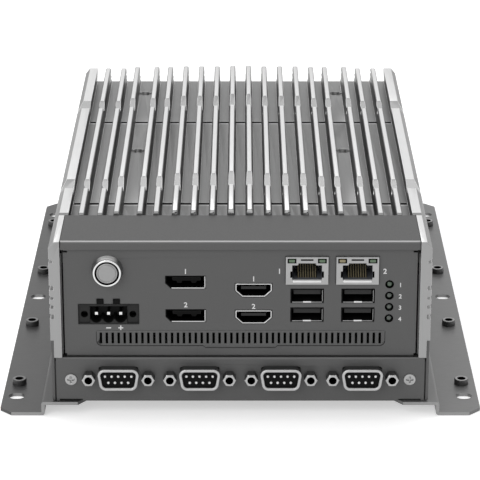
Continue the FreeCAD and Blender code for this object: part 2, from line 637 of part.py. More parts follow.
def video_tongues():
    """Two video sockets' contact tongues."""
    y0 = PLATE_FACE + 1.0
    parts = []
    for z in VIDEO_Z:
        tongue = box(VIDEO_X - 5.2, VIDEO_X + 5.2, y0, y0 + 9.9, z + 0.2, z + 1.4)
        root = front_prism(video_outline(VIDEO_X, z, 14.2, 4.9), y0 + 8.0, y0 + 9.9)
        parts.append(tongue.fuse(root).removeSplitter())
    return parts


def display_shells():
    """Two display sockets' shells."""
    return [shell_from(display_outline, DISPLAY_X, z, *DISPLAY_SHELL, 0.4, PLATE_FACE + 0.1, 12.0)
            for z in DISPLAY_Z]


def display_tongues():
    """Two display sockets' contact tongues, each with two wedge ribs below."""
    y0 = PLATE_FACE + 1.2
    parts = []
    for z in DISPLAY_Z:
        tongue = box(DISPLAY_X - 5.4, DISPLAY_X + 6.2, y0, y0 + 9.9, z + 0.35, z + 1.7)
        root = front_prism(display_outline(DISPLAY_X, z, 15.8, 4.7), y0 + 8.2, y0 + 9.9)
        ribs = [front_prism([(DISPLAY_X + s - 1.5, z + 0.4), (DISPLAY_X + s + 1.5, z + 0.4),
                             (DISPLAY_X + s + 0.8, z - 0.9), (DISPLAY_X + s - 0.8, z - 0.9)], y0 + 0.6, y0 + 8.3)
                for s in (-2.6, 3.4)]
        parts.append(tongue.multiFuse([root] + ribs).removeSplitter())
    return parts


VIDEO_SHELL = (15.2, 5.9)
DISPLAY_SHELL = (16.6, 5.5)


def socket_housings():
    """Moulded blocks on the mainboard: they hold the stacked shells and carry the network jacks."""
    y0 = PLATE_FACE + SHEET
    usb_back = PLATE_FACE + 0.3 + USB_DEPTH
    blocks = []
    for x in USB_X:
        block = box(x - 8.0, x + 8.0, y0, usb_back + 1.5, BOARD_TOP, LAN_Z - LAN_HEIGHT / 2)
        blocks.append(cut_all(block, [box(x - USB_HALF[0], x + USB_HALF[0], 0, usb_back, z - USB_HALF[1],
                                          z + USB_HALF[1]) for z in USB_Z]))
    block = box(VIDEO_X - 8.8, VIDEO_X + 8.8, y0, 15.0, BOARD_TOP, VIDEO_Z[1] + 4.4)
    blocks.append(cut_all(block, [front_prism(video_outline(VIDEO_X, z, *VIDEO_SHELL), 0, PLATE_FACE + 11.9)
                                  for z in VIDEO_Z]))
    block = box(DISPLAY_X - 9.6, DISPLAY_X + 9.6, y0, 15.0, BOARD_TOP, DISPLAY_Z[1] + 4.4)
    blocks.append(cut_all(block, [front_prism(display_outline(DISPLAY_X, z, *DISPLAY_SHELL), 0, PLATE_FACE + 12.1)
                                  for z in DISPLAY_Z]))
    return blocks


DC_FACE = PLATE_FACE - 0.2
DC_CAVITY = 8.0


def dc_inlet():
    """Three-pole inlet: block with two screw ears, a scalloped cavity and two keying lugs on top."""
    y0 = DC_FACE
    body = box(DC_X - 12.7, DC_X + 12.7, y0, y0 + 11.5, DC_Z - 4.4, DC_Z + 4.5)
    lugs = [box(x - 1.4, x + 1.4, y0 - 0.2, y0 + 7.0, DC_Z + 4.0, DC_Z + 6.8) for x in (DC_X - 3.5, DC_X + 3.35)]
    body = body.multiFuse(lugs).removeSplitter()
    cavity = box(DC_X - 7.7, DC_X + 7.7, y0 - 1, y0 + DC_CAVITY, DC_Z - 2.3, DC_Z + 3.6)
    scallops = [flat_sided_bar(V(DC_X + (k - 1) * DC_PITCH - 0.1, y0 - 1, DC_Z - 1.6), V(0, 1, 0), 2.35, 12,
                               DC_CAVITY + 1) for k in range(3)]
    ears = []
    for x in (DC_X - 10.15, DC_X + 10.15):
        ears.append(flat_sided_bar(V(x, y0, DC_Z - 0.2), V(0, 1, 0), 1.5, 12, 6.0))
        ears.append(box(x - 2.3, x + 2.3, y0 - 1, y0 + 0.6, DC_Z - 4.0, DC_Z + 4.0))
    return cut_all(body, [cavity.multiFuse(scallops)] + ears)


def dc_pins():
    """Three square pins."""
    middles = [DC_X + (k - 1) * DC_PITCH - 0.1 for k in range(3)]
    return [box(x - 0.6, x + 0.6, DC_FACE + 1.6, DC_FACE + DC_CAVITY, DC_Z - 0.8, DC_Z + 0.4) for x in middles]


STATUS_ROD = 1.25            # radius of a light rod


def status_light_guide():
    """Black block behind the light holes, with a bore for each light rod."""
    y0 = PLATE_FACE + SHEET
    block = box(STATUS_X - 3.0, STATUS_X + 3.0, y0, y0 + 7, BOARD_TOP, STATUS_Z[0] + 3.0)
    return cut_all(block, [flat_sided_bar(V(STATUS_X, y0, z), V(0, 1, 0), STATUS_ROD, 12, 7) for z in STATUS_Z])


def status_lenses():
    """Four light rods in the block's bores; their ends stop short of the plate's face."""
    y0 = PLATE_FACE + 0.7
    return [flat_sided_bar(V(STATUS_X, y0, z), V(0, 1, 0), STATUS_ROD, 12, 7) for z in STATUS_Z]


# ---------------------------------------------------------------- power button
BUTTON_FACE = PLATE_FACE - BUTTON_PROUD


def power_button_bezel():
    """Turned housing: polished rim, tapered collar, barrel through the plate, closed at the back."""
    y = BUTTON_FACE
    barrel = PLATE_FACE + 15
    profile = [(y, 5.1), (y, 5.6), (y + 0.4, 5.95), (PLATE_FACE, 6.6), (PLATE_FACE, 5.5),
               (barrel, 5.5), (barrel, 0), (barrel - 1.4, 0), (barrel - 1.4, 5.1)]
    return turned(BUTTON_X, BUTTON_Z, profile)


def power_button_nut():
    """Hexagonal nut that clamps the housing to the plate from behind."""
    nut = hex_bar(V(BUTTON_X, PLATE_FACE + SHEET, BUTTON_Z), V(0, 1, 0), 14.0, 2.5)
    return nut.cut(rod(BUTTON_X, BUTTON_Z, 5.5, 0, 10))


def power_button_cap():
    """Cap and plunger: rounded rim, flat face, a shoulder for the spring and a guide pin."""
    y = BUTTON_FACE + 0.1
    profile = [(y, 0), (y, 4.0), (y + 0.4, 4.45), (PLATE_FACE + 4.0, 4.45),
               (PLATE_FACE + 4.0, 1.6), (PLATE_FACE + 10.5, 1.6), (PLATE_FACE + 10.5, 0)]
    return turned(BUTTON_X, BUTTON_Z, profile)


def power_button_spring():
    """Return spring round the guide pin: three turns of eight straight stretches of square wire."""
    half_wire = 0.3
    radius = 2.6
    start = PLATE_FACE + 4.0 + half_wire
    run = 9.6 - 2 * half_wire
    turns, steps = 3, 8
    points = []
    for k in range(turns * steps + 1):
        angle = 2 * math.pi * k / steps
        points.append(V(BUTTON_X + radius * math.cos(angle), start + run * k / (turns * steps),
                        BUTTON_Z + radius * math.sin(angle)))
    path = Part.makePolygon(points)
    tangent = (points[1] - points[0]).normalize()
    outward = V(1, 0, 0)
    across = tangent.cross(outward).normalize()
    corners = [points[0] + outward * (a * half_wire) + across * (b * half_wire)
               for a, b in ((-1, -1), (1, -1), (1, 1), (-1, 1))]
    return path.makePipeShell([Part.makePolygon(corners + corners[:1])], True, True, 1)


# ---------------------------------------------------------------- serial sockets
def serial_shells():
    """Four D-shaped steel shells with a bevelled rim and a flange behind the plate."""
    parts = []
    for x in SERIAL_X:
        rim = -SERIAL_PROUD
        outer = front_prism(d_outline(x, SERIAL_Z, 17.4, 8.9, 2.6), rim, 3.2)
        lip = [e for e in outer.Edges if all(abs(v.Point.y - rim) < 1e-6 for v in e.Vertexes)]
        outer = outer.makeChamfer(0.35, lip)
        inner = front_prism(d_outline(x, SERIAL_Z, 15.6, 7.1, 1.9), rim - 1, 4.0)
        flange = box(x - 15.3, x + 15.3, FRONT_SHEET, 3.2, SERIAL_Z - 5.7, SERIAL_Z + 5.7)
        holes = [screw_hole(V(x + s * JACK_SCREW_OFFSET, 0, SERIAL_Z), V(0, 1, 0), 5) for s in (1, -1)]
        parts.append(cut_all(outer.fuse(flange).removeSplitter(), [inner] + holes))
    return parts


def serial_inserts():
    """Four moulded bodies in the shells, standing on the serial board."""
    parts = []
    for x in SERIAL_X:
        face = front_prism(d_outline(x, SERIAL_Z, 15.6, 7.1, 1.9), 0.6, 3.2)
        rear = box(x - 9.0, x + 9.0, 3.2, 12.0, COM_BOARD_TOP, SERIAL_Z + 5.2)
        parts.append(face.fuse(rear).removeSplitter())
    return parts


def serial_pins():
    """Thirty-six pins in rows of five and four, six-sided to stay light."""
    pins = []
    for x in SERIAL_X:
        for row, count in ((1, 5), (-1, 4)):
            for k in range(count):
                place = V(x + (k - (count - 1) / 2) * 2.77, 0.6, SERIAL_Z + row * 1.42)
                pins.append(hex_bar(place, V(0, -1, 0), 1.0, 4.3))
    return pins


def jack_screws():
    """Eight hexagonal jack screws with a threaded hole; their shanks hold the sockets to the plate."""
    parts = []
    for x in SERIAL_X:
        for side in (1, -1):
            middle = x + side * JACK_SCREW_OFFSET
            head = hex_bar(V(middle, 0, SERIAL_Z), V(0, -1, 0), 4.9, 4.9)
            shank = hex_bar(V(middle, 0, SERIAL_Z), V(0, 1, 0), SCREW_CORE, 6.0)
            bore = rod(middle, SERIAL_Z, 1.4, -6, -1.2)
            parts.append(head.fuse(shank).cut(bore).removeSplitter())
    return parts


# ---------------------------------------------------------------- inside
STANDOFF_XY = [(s * 67.5, y) for s in (1, -1) for y in (45.0, 168.0)]
COM_POSTS = [(s * 64.0, y) for s in (1, -1) for y in (16.0, 52.0)]


def mainboard():
    """Circuit board that hangs from the heat sink and carries the upper sockets."""
    board = box(-71.8, 71.8, PLATE_FACE + 2.0, BOARD_BACK, BOARD_TOP - BOARD_SHEET, BOARD_TOP)
    tools = [screw_hole(V(x, y, BOARD_TOP), V(0, 0, -1), 3) for x, y in STANDOFF_XY]
    return cut_all(board, tools)


def board_standoffs():
    """Four hexagonal posts between the heat sink's base and the mainboard."""
    length = SINK_BASE_BOTTOM - BOARD_TOP
    parts = []
    for x, y in STANDOFF_XY:
        column = hex_bar(V(x, y, BOARD_TOP), V(0, 0, 1), 5.0, length)
        parts.append(cut_all(column, [screw_hole(V(x, y, BOARD_TOP), V(0, 0, 1), 5.4)]))
    return parts


def board_screws():
    """Four screws that hold the mainboard up to its posts."""
    low = BOARD_TOP - BOARD_SHEET
    return [hex_screw(V(x, y, low), V(0, 0, 1), 7.0) for x, y in STANDOFF_XY]


CPU_XY = (0.0, 112.0)


def processor():
    """Processor package with its metal lid."""
    x, y = CPU_XY
    substrate = box(x - 20, x + 20, y - 20, y + 20, BOARD_TOP, BOARD_TOP + 1.4)
    lid = box(x - 14, x + 14, y - 14, y + 14, BOARD_TOP + 1.4, BOARD_TOP + 3.0)
    return substrate.fuse(lid).removeSplitter()


def thermal_pad():
    """Soft pad between the processor's lid and the heat spreader."""
    x, y = CPU_XY
    return box(x - 13, x + 13, y - 13, y + 13, BOARD_TOP + 3.0, BOARD_TOP + 3.6)


def heat_spreader():
    """Aluminium plate with a pedestal that reaches down to the processor."""
    x, y = CPU_XY
    pedestal = box(x - 17, x + 17, y - 17, y + 17, BOARD_TOP + 3.6, SINK_BASE_BOTTOM - 4)
    plate = box(-55, 55, 85.0, 152.0, SINK_BASE_BOTTOM - 5, SINK_BASE_BOTTOM)
    tools = [screw_hole(V(s * SCREW_CHANNEL_X, SINK_SCREW_Y[0], SINK_BASE_BOTTOM), V(0, 0, -1), 6) for s in (1, -1)]
    return cut_all(plate.fuse(pedestal).removeSplitter(), tools)


def memory_socket():
    """Low socket for one laptop-size memory module."""
    socket = box(-62, 8, 66.0, 72.0, BOARD_TOP, BOARD_TOP + 4.0)
    arms = [box(x, x + 2.5, 40.0, 66.5, BOARD_TOP, BOARD_TOP + 3.6) for x in (-62, 5.5)]
    slot = box(-60.9, 6.9, 65.0, 70.0, BOARD_TOP + 2.0, BOARD_TOP + 3.2)
    return cut_all(socket.multiFuse(arms).removeSplitter(), [slot])


def memory_module():
    """Memory module with four chips, lying flat over the board."""
    low = BOARD_TOP + 2.0
    card = box(-59.4, 5.4, 41.0, 70.0, low, low + 1.2)
    chips = [box(-56 + 15 * k, -45 + 15 * k, 46.0, 58.0, low + 1.2, low + 2.3) for k in range(4)]
    return card.multiFuse(chips).removeSplitter()


def coin_cell_holder():
    """Square holder for the clock's cell."""
    cup = box(33.5, 56.5, 43.5, 66.5, BOARD_TOP, BOARD_TOP + 4.4)
    return cup.cut(flat_sided_bar(V(45.0, 55.0, BOARD_TOP + 1.0), V(0, 0, 1), 10.0, 24, 5.0))


def coin_cell():
    """Clock cell."""
    return flat_sided_bar(V(45.0, 55.0, BOARD_TOP + 1.0), V(0, 0, 1), 10.0, 24, 3.2)


def storage_tray():
    """Sheet cradle that hangs the drive under the heat sink's base."""
    floor = box(-54.0, 54.0, 184.0, 256.0, 46.8, 48.0)
    walls = [side_box(s, 52.8, 54, 184.0, 256.0, 46.8, SINK_BASE_BOTTOM) for s in (1, -1)]
    ears = [side_box(s, 43.0, 54, 228.0, 250.0, SINK_BASE_BOTTOM - SHEET, SINK_BASE_BOTTOM) for s in (1, -1)]
    body = floor.multiFuse(walls + ears).removeSplitter()
    tools = [screw_hole(V(s * SCREW_CHANNEL_X, SINK_SCREW_Y[1], SINK_BASE_BOTTOM), V(0, 0, -1), 6) for s in (1, -1)]
    tools.append(box(-30, 30, 196.0, 244.0, 40, 50))
    return cut_all(body, tools)


def storage_drive():
    """Flat solid-state drive in its cradle."""
    half, back, front, corner = 50.0, 254.8, 185.0, 3.0
    points = [(-half, front + corner), (-half + corner, front), (half - corner, front), (half, front + corner),
              (half, back - corner), (half - corner, back), (-half + corner, back), (-half, back - corner)]
    return plan_prism(points, 48.0, 55.0)


def com_board():
    """Serial board on the tray's floor."""
    board = box(-72.0, 72.0, 4.0, 58.0, COM_BOARD_TOP - BOARD_SHEET, COM_BOARD_TOP)
    return cut_all(board, [screw_hole(V(x, y, COM_BOARD_TOP), V(0, 0, -1), 3) for x, y in COM_POSTS])


def com_posts():
    """Four short hexagonal posts under the serial board."""
    low = TRAY_BOTTOM + SHEET
    length = COM_BOARD_TOP - BOARD_SHEET - low
    parts = []
    for x, y in COM_POSTS:
        column = hex_bar(V(x, y, low), V(0, 0, 1), 5.0, length)
        parts.append(cut_all(column, [screw_hole(V(x, y, low + length), V(0, 0, -1), 1.8)]))
    return parts


def com_screws():
    """Four screws that hold the serial board to its posts."""
    return [hex_screw(V(x, y, COM_BOARD_TOP), V(0, 0, -1), 3.4) for x, y in COM_POSTS]


def riser_card():
    """Upright card that joins the serial board to the mainboard, with a socket at each end."""
    card = box(-30.0, 30.0, 49.0, 50.6, COM_BOARD_TOP + 3.0, BOARD_TOP - BOARD_SHEET - 3.0)
    lower = box(-31.0, 31.0, 46.8, 52.8, COM_BOARD_TOP, COM_BOARD_TOP + 5.0)
    upper = box(-31.0, 31.0, 46.8, 52.8, BOARD_TOP - BOARD_SHEET - 5.0, BOARD_TOP - BOARD_SHEET)
    return card.multiFuse([lower, upper]).removeSplitter()


# ---------------------------------------------------------------- export
NODES = {
    "heat_sink": heat_sink,
    "heat_sink_screws": heat_sink_screws,
    "hood": hood,
    "port_plate": port_plate,
    "com_front_plate": com_front_plate,
    "front_plate_screws": front_plate_screws,
    "chassis_tray": chassis_tray,
    "side_screws": side_screws,
    "rear_panel": rear_panel,
    "rear_screws": rear_screws,
    "bracket_left": lambda: bracket(-1),
    "bracket_right": lambda: bracket(1),
    "bracket_standoffs": bracket_standoffs,
    "bracket_screws": bracket_screws,
    "lan_shields": lan_shields,
    "lan_inserts": lan_inserts,
    "lan_contacts": lan_contacts,
    "lan_windows_green": lambda: lan_windows(((0, -1), (0, 1), (1, 1))),
    "lan_window_amber": lambda: lan_windows(((1, -1),)),
    "usb_shells": usb_shells,
    "usb_tongues": usb_tongues,
    "video_shells": video_shells,
    "video_tongues": video_tongues,
    "display_shells": display_shells,
    "display_tongues": display_tongues,
    "socket_housings": socket_housings,
    "dc_inlet": dc_inlet,
    "dc_pins": dc_pins,
    "status_light_guide": status_light_guide,
    "status_lenses": status_lenses,
    "power_button_bezel": power_button_bezel,
    "power_button_nut": power_button_nut,
    "power_button_cap": power_button_cap,
    "power_button_spring": power_button_spring,
    "serial_shells": serial_shells,
    "serial_inserts": serial_inserts,
    "serial_pins": serial_pins,
    "jack_screws": jack_screws,
    "mainboard": mainboard,
    "board_standoffs": board_standoffs,
    "board_screws": board_screws,
    "processor": processor,
    "thermal_pad": thermal_pad,
    "heat_spreader": heat_spreader,
    "memory_socket": memory_socket,
    "memory_module": memory_module,
    "coin_cell_holder": coin_cell_holder,
    "coin_cell": coin_cell,
    "storage_tray": storage_tray,
    "storage_drive": storage_drive,
    "com_board": com_board,
    "com_posts": com_posts,
    "com_screws": com_screws,
    "riser_card": riser_card,
}


def export(name, made):
    """Write one node's STEP file with the row's origin under the middle of the part."""
    shape = Part.makeCompound(made) if isinstance(made, list) else made
    shape.translate(V(0, -FRAME_Y, 0))
    shape.exportStep("parts/" + name + ".step")
    b = shape.BoundBox
    print("%-22s %2d solids %9.1f mm3  x %7.2f %7.2f  y %7.2f %7.2f  z %6.2f %6.2f %s" % (
        name, len(shape.Solids), shape.Volume, b.XMin, b.XMax, b.YMin, b.YMax, b.ZMin, b.ZMax,
        "" if shape.isValid() else "NOT VALID"))


os.makedirs("parts", exist_ok=True)
for node, build in NODES.items():
    export(node, build())
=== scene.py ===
"""Fanless industrial computer: finishes, rounded sheet edges, sockets, fasteners, signs and studio."""
import bmesh
import bpy
import json
import math
import numpy as np
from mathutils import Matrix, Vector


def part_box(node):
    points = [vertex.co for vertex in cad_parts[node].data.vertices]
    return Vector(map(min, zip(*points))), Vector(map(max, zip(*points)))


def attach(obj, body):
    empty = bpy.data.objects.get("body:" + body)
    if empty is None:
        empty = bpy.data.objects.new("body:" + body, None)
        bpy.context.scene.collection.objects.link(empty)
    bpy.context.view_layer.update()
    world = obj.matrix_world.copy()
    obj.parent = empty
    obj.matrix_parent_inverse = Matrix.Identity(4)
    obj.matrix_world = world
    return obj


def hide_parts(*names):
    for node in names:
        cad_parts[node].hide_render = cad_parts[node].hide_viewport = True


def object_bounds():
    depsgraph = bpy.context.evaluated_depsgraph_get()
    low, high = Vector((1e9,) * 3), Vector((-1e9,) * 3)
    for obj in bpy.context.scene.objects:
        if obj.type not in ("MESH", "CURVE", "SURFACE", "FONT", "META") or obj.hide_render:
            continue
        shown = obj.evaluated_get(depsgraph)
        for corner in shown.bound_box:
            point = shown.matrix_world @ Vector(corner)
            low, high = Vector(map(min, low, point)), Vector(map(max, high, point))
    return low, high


MM = 0.001
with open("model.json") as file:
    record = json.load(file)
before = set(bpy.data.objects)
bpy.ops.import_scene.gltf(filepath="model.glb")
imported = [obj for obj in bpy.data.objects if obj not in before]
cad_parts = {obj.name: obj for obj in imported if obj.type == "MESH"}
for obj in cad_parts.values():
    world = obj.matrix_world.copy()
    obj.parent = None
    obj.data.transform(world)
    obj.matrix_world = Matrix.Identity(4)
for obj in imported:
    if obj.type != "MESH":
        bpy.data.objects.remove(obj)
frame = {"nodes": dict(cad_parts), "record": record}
CAD_LOW, CAD_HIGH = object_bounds()
MOUNTS = {mount["name"]: mount for mount in frame["record"]["mounts"]}
CHASSIS = "chassis"
BUTTON = "power_button"
AXES = {
    "front": ((1, 0, 0), (0, 0, 1), (0, -1, 0)),
    "back": ((-1, 0, 0), (0, 0, 1), (0, 1, 0)),
    "up": ((1, 0, 0), (0, 1, 0), (0, 0, 1)),
    "right": ((0, 1, 0), (0, 0, 1), (1, 0, 0)),
    "left": ((0, -1, 0), (0, 0, 1), (-1, 0, 0)),
}
PLAIN = (1.0, 1.0, 1.0)


def tone(level, tint=PLAIN):
    """Linear colour of a display grey between 0 and 255, with a slight tint."""
    value = ((level / 255 + 0.055) / 1.055) ** 2.4
    return tuple(value * part for part in tint) + (1.0,)


# ---------------------------------------------------------------- surfaces
def grid_faces(rows, columns, close_rows):
    """Quads between neighbouring rows and columns; columns wrap round, rows wrap only where asked."""
    row, column = np.meshgrid(np.arange(rows - (not close_rows)), np.arange(columns), indexing="ij")
    below = (row + 1) % rows
    right = (column + 1) % columns
    this_row, next_row = row * columns, below * columns
    corners = (this_row + column, this_row + right, next_row + right, next_row + column)
    return np.stack(corners, -1).reshape(-1, 4)


def place(grid, centre, facing):
    """Carry local points to the row frame: x and y lie in the face and z leaves it along facing."""
    across, upward, outward = (np.array(axis, float) for axis in AXES[facing])
    return np.array(centre) + grid[..., :1] * across + grid[..., 1:2] * upward + grid[..., 2:] * outward


def piece(name, grids, material, slot, body=CHASSIS, stands_for=(), close_rows=False):
    """One mesh from several grids; doubled points are merged and all faces are turned outwards."""
    points, faces, start = [], [], 0
    for grid in grids:
        rows, columns = grid.shape[:2]
        points.append(grid.reshape(-1, 3))
        faces.append(grid_faces(rows, columns, close_rows) + start)
        start += rows * columns
    mesh = bpy.data.meshes.new(name)
    mesh.from_pydata(np.concatenate(points).tolist(), [], np.concatenate(faces).tolist())
    tidy_mesh(mesh)
    return shown(mesh, name, material, body, stands_for)


def copies(name, shape, places, facing, material, slot, **options):
    """One mesh of the same shape at several places."""
    piece(name, [place(shape, at, facing) for at in places], material, slot, **options)


def tidy_mesh(mesh, merge=1e-7):
    """Merge doubled points, turn the faces outwards and mark the sharp edges."""
    work = bmesh.new()
    work.from_mesh(mesh)
    bmesh.ops.remove_doubles(work, verts=work.verts, dist=merge)
    bmesh.ops.dissolve_degenerate(work, edges=work.edges, dist=merge)
    bmesh.ops.recalc_face_normals(work, faces=work.faces)
    work.to_mesh(mesh)
    work.free()
    mesh.shade_smooth()
    mesh.set_sharp_from_angle(angle=math.radians(38))


def shown(mesh, name, material, body, stands_for):
    """Put a mesh into the scene as a piece that rides on a body; printed ink has no slot of its own."""
    made = bpy.data.objects.new(name, mesh)
    bpy.context.collection.objects.link(made)
    made.data.materials.append(material)
    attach(made, body)
    if stands_for:
        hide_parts(*stands_for)
    return made


def softened(node, width, material):
    """Copy of a CAD node with its doubled points merged and its sharp edges rounded by width."""
    mesh = frame["nodes"][node].data.copy()
    mesh.name = node + "_rounded"
    mesh.materials.clear()
    work = bmesh.new()
    work.from_mesh(mesh)
    bmesh.ops.remove_doubles(work, verts=work.verts, dist=2e-6)
    work.to_mesh(mesh)
    work.free()
    mesh.shade_smooth()
    mesh.set_sharp_from_angle(angle=math.radians(30))
    made = shown(mesh, node + "_rounded", material, CHASSIS, (node,))
    bevel = made.modifiers.new("edge round", "BEVEL")
    bevel.width = width
    bevel.segments = 2
    bevel.limit_method = "ANGLE"
    bevel.angle_limit = math.radians(32)
    bevel.use_clamp_overlap = False
    bevel.harden_normals = True
    return made


def turned(profile, sides=40):
    """Surface of revolution: point (row, angle) is (r cos, r sin, height) for each (radius, height) row."""
    angle = np.linspace(0, 2 * np.pi, sides, endpoint=False)
    radius, height = np.array(profile, float).T
    return np.stack([np.outer(radius, np.cos(angle)), np.outer(radius, np.sin(angle)),
                     np.outer(height, np.ones(sides))], -1)


def rounded_corners(corners, radius, steps=6):
    """Arc centres and outward directions of a convex outline; centre + (radius + offset) * direction is a
    point of it."""
    corners = np.array(corners, float)
    edges = np.roll(corners, -1, axis=0) - corners
    lengths = np.linalg.norm(edges, axis=1, keepdims=True)
    normals = np.stack([edges[:, 1], -edges[:, 0]], -1) / lengths
    before = np.roll(normals, 1, axis=0)
    share = 1 + np.sum(before * normals, axis=1, keepdims=True)
    centres = corners - radius * (before + normals) / share
    first = np.arctan2(before[:, 1], before[:, 0])
    turn = (np.arctan2(normals[:, 1], normals[:, 0]) - first) % (2 * np.pi)
    angles = first[:, None] + turn[:, None] * np.linspace(0, 1, steps)[None, :]
    directions = np.stack([np.cos(angles), np.sin(angles)], -1).reshape(-1, 2)
    return np.repeat(centres, steps, axis=0), directions


def carried(outline, radius, profile):
    """Outline carried along a profile of (offset, height) rows; an offset of None closes to the middle."""
    centres, directions = outline
    middle_point = centres.mean(axis=0)
    rows = []
    for offset, height in profile:
        if offset is None:
            ring = np.tile(middle_point, (len(centres), 1))
        else:
            ring = centres + (radius + offset) * directions
        rows.append(np.column_stack([ring, np.full(len(ring), height)]))
    return np.stack(rows)


def quarter_round(start, end, bulge, steps=5):
    """Rows from start to end along a quarter ellipse; bulge 0 rounds the first number first, 1 the second."""
    angle = np.linspace(0, np.pi / 2, steps)
    a, b = (1 - np.cos(angle), np.sin(angle)) if bulge else (np.sin(angle), 1 - np.cos(angle))
    return [(start[0] + (end[0] - start[0]) * s, start[1] + (end[1] - start[1]) * t) for s, t in zip(a, b)]


def slab(x0, x1, z0, z1, thick, radius=0.1 * MM):
    """Flat bar in the face's plane with rounded corners and a rounded front edge; it stands thick proud."""
    middle_point = np.array([(x0 + x1) / 2, (z0 + z1) / 2])
    a, b = (x1 - x0) / 2, (z1 - z0) / 2
    centres, directions = rounded_corners([(a, b), (-a, b), (-a, -b), (a, -b)], radius, 4)
    profile = [(None, 0), (0, 0)] + quarter_round((0, thick - radius / 2), (-radius / 2, thick), 1, 3)
    return carried((centres + middle_point, directions), radius, profile + [(None, thick)])


def pierced_sheet(name, width, height, holes, thick, centres, material, slot, stands_for=()):
    """Sheet cut into cells by the edges of its rectangular holes; only cells outside every hole are kept."""
    xs = np.unique([-width / 2, width / 2] + [edge for hole in holes for edge in hole[:2]])
    zs = np.unique([-height / 2, height / 2] + [edge for hole in holes for edge in hole[2:]])
    x_middle, z_middle = np.meshgrid((xs[1:] + xs[:-1]) / 2, (zs[1:] + zs[:-1]) / 2, indexing="ij")
    solid = np.ones(x_middle.shape, bool)
    for x0, x1, z0, z1 in holes:
        solid &= ~((x_middle > x0) & (x_middle < x1) & (z_middle > z0) & (z_middle < z1))
    points = np.stack(np.meshgrid(xs, zs, [0.0, thick], indexing="ij"), -1)
    number = np.arange(points[..., 0].size).reshape(points.shape[:3])
    i, k = np.nonzero(solid)
    front, rear = number[..., 1], number[..., 0]
    faces = [np.stack([front[i, k], front[i + 1, k], front[i + 1, k + 1], front[i, k + 1]], -1),
             np.stack([rear[i, k], rear[i, k + 1], rear[i + 1, k + 1], rear[i + 1, k]], -1)]
    padded = np.pad(solid, 1)
    for di, dk, ends in ((1, 0, ((1, 0), (1, 1))), (-1, 0, ((0, 1), (0, 0))),
                         (0, 1, ((1, 1), (0, 1))), (0, -1, ((0, 0), (1, 0)))):
        open_side = solid & ~padded[1 + di:1 + di + solid.shape[0], 1 + dk:1 + dk + solid.shape[1]]
        i, k = np.nonzero(open_side)
        (a, b), (c, d) = ends
        faces.append(np.stack([number[i + a, k + b, 0], number[i + c, k + d, 0],
                               number[i + c, k + d, 1], number[i + a, k + b, 1]], -1))
    faces = np.concatenate(faces)
    local = points.reshape(-1, 3)
    laid = [place(local, centre, "front") for centre in centres]
    mesh = bpy.data.meshes.new(name)
    mesh.from_pydata(np.concatenate(laid).tolist(), [],
                     np.concatenate([faces + k * len(local) for k in range(len(centres))]).tolist())
    tidy_mesh(mesh)
    return shown(mesh, name, material, CHASSIS, stands_for)


# ---------------------------------------------------------------- shader effects
def new_group(name, inputs, outputs):
    """Empty shader node group with named sockets; inputs are (name, kind, default)."""
    group = bpy.data.node_groups.new(name, "ShaderNodeTree")
    for socket, kind, default in inputs:
        made = group.interface.new_socket(name=socket, in_out="INPUT", socket_type=kind)
        made.default_value = default
    for socket, kind in outputs:
        group.interface.new_socket(name=socket, in_out="OUTPUT", socket_type=kind)
    return group, group.nodes.new("NodeGroupInput"), group.nodes.new("NodeGroupOutput")


def mottle_group():
    """Two tones mixed by stretched noise: Stretch scales each axis, and Height follows the same noise."""
    group, given, result = new_group(
        "mottle",
        [("Low", "NodeSocketColor", (0.1, 0.1, 0.1, 1)), ("High", "NodeSocketColor", (0.2, 0.2, 0.2, 1)),
         ("Stretch", "NodeSocketVector", (1, 1, 1)), ("Scale", "NodeSocketFloat", 400.0),
         ("Rough Low", "NodeSocketFloat", 0.3), ("Rough High", "NodeSocketFloat", 0.5)],
        [("Color", "NodeSocketColor"), ("Roughness", "NodeSocketFloat"), ("Height", "NodeSocketFloat")])
    nodes, links = group.nodes, group.links
    place_at = nodes.new("ShaderNodeTexCoord")
    stretch = nodes.new("ShaderNodeVectorMath")
    stretch.operation = "MULTIPLY"
    noise = nodes.new("ShaderNodeTexNoise")
    noise.inputs["Detail"].default_value = 3.0
    tones = nodes.new("ShaderNodeMix")
    tones.data_type = "RGBA"
    rough = nodes.new("ShaderNodeMapRange")
    links.new(place_at.outputs["Object"], stretch.inputs[0])
    links.new(given.outputs["Stretch"], stretch.inputs[1])
    links.new(stretch.outputs[0], noise.inputs["Vector"])
    links.new(given.outputs["Scale"], noise.inputs["Scale"])
    links.new(noise.outputs["Fac"], tones.inputs["Factor"])
    links.new(given.outputs["Low"], tones.inputs["A"])
    links.new(given.outputs["High"], tones.inputs["B"])
    links.new(noise.outputs["Fac"], rough.inputs["Value"])
    links.new(given.outputs["Rough Low"], rough.inputs["To Min"])
    links.new(given.outputs["Rough High"], rough.inputs["To Max"])
    links.new(tones.outputs["Result"], result.inputs["Color"])
    links.new(rough.outputs["Result"], result.inputs["Roughness"])
    links.new(noise.outputs["Fac"], result.inputs["Height"])
    return group


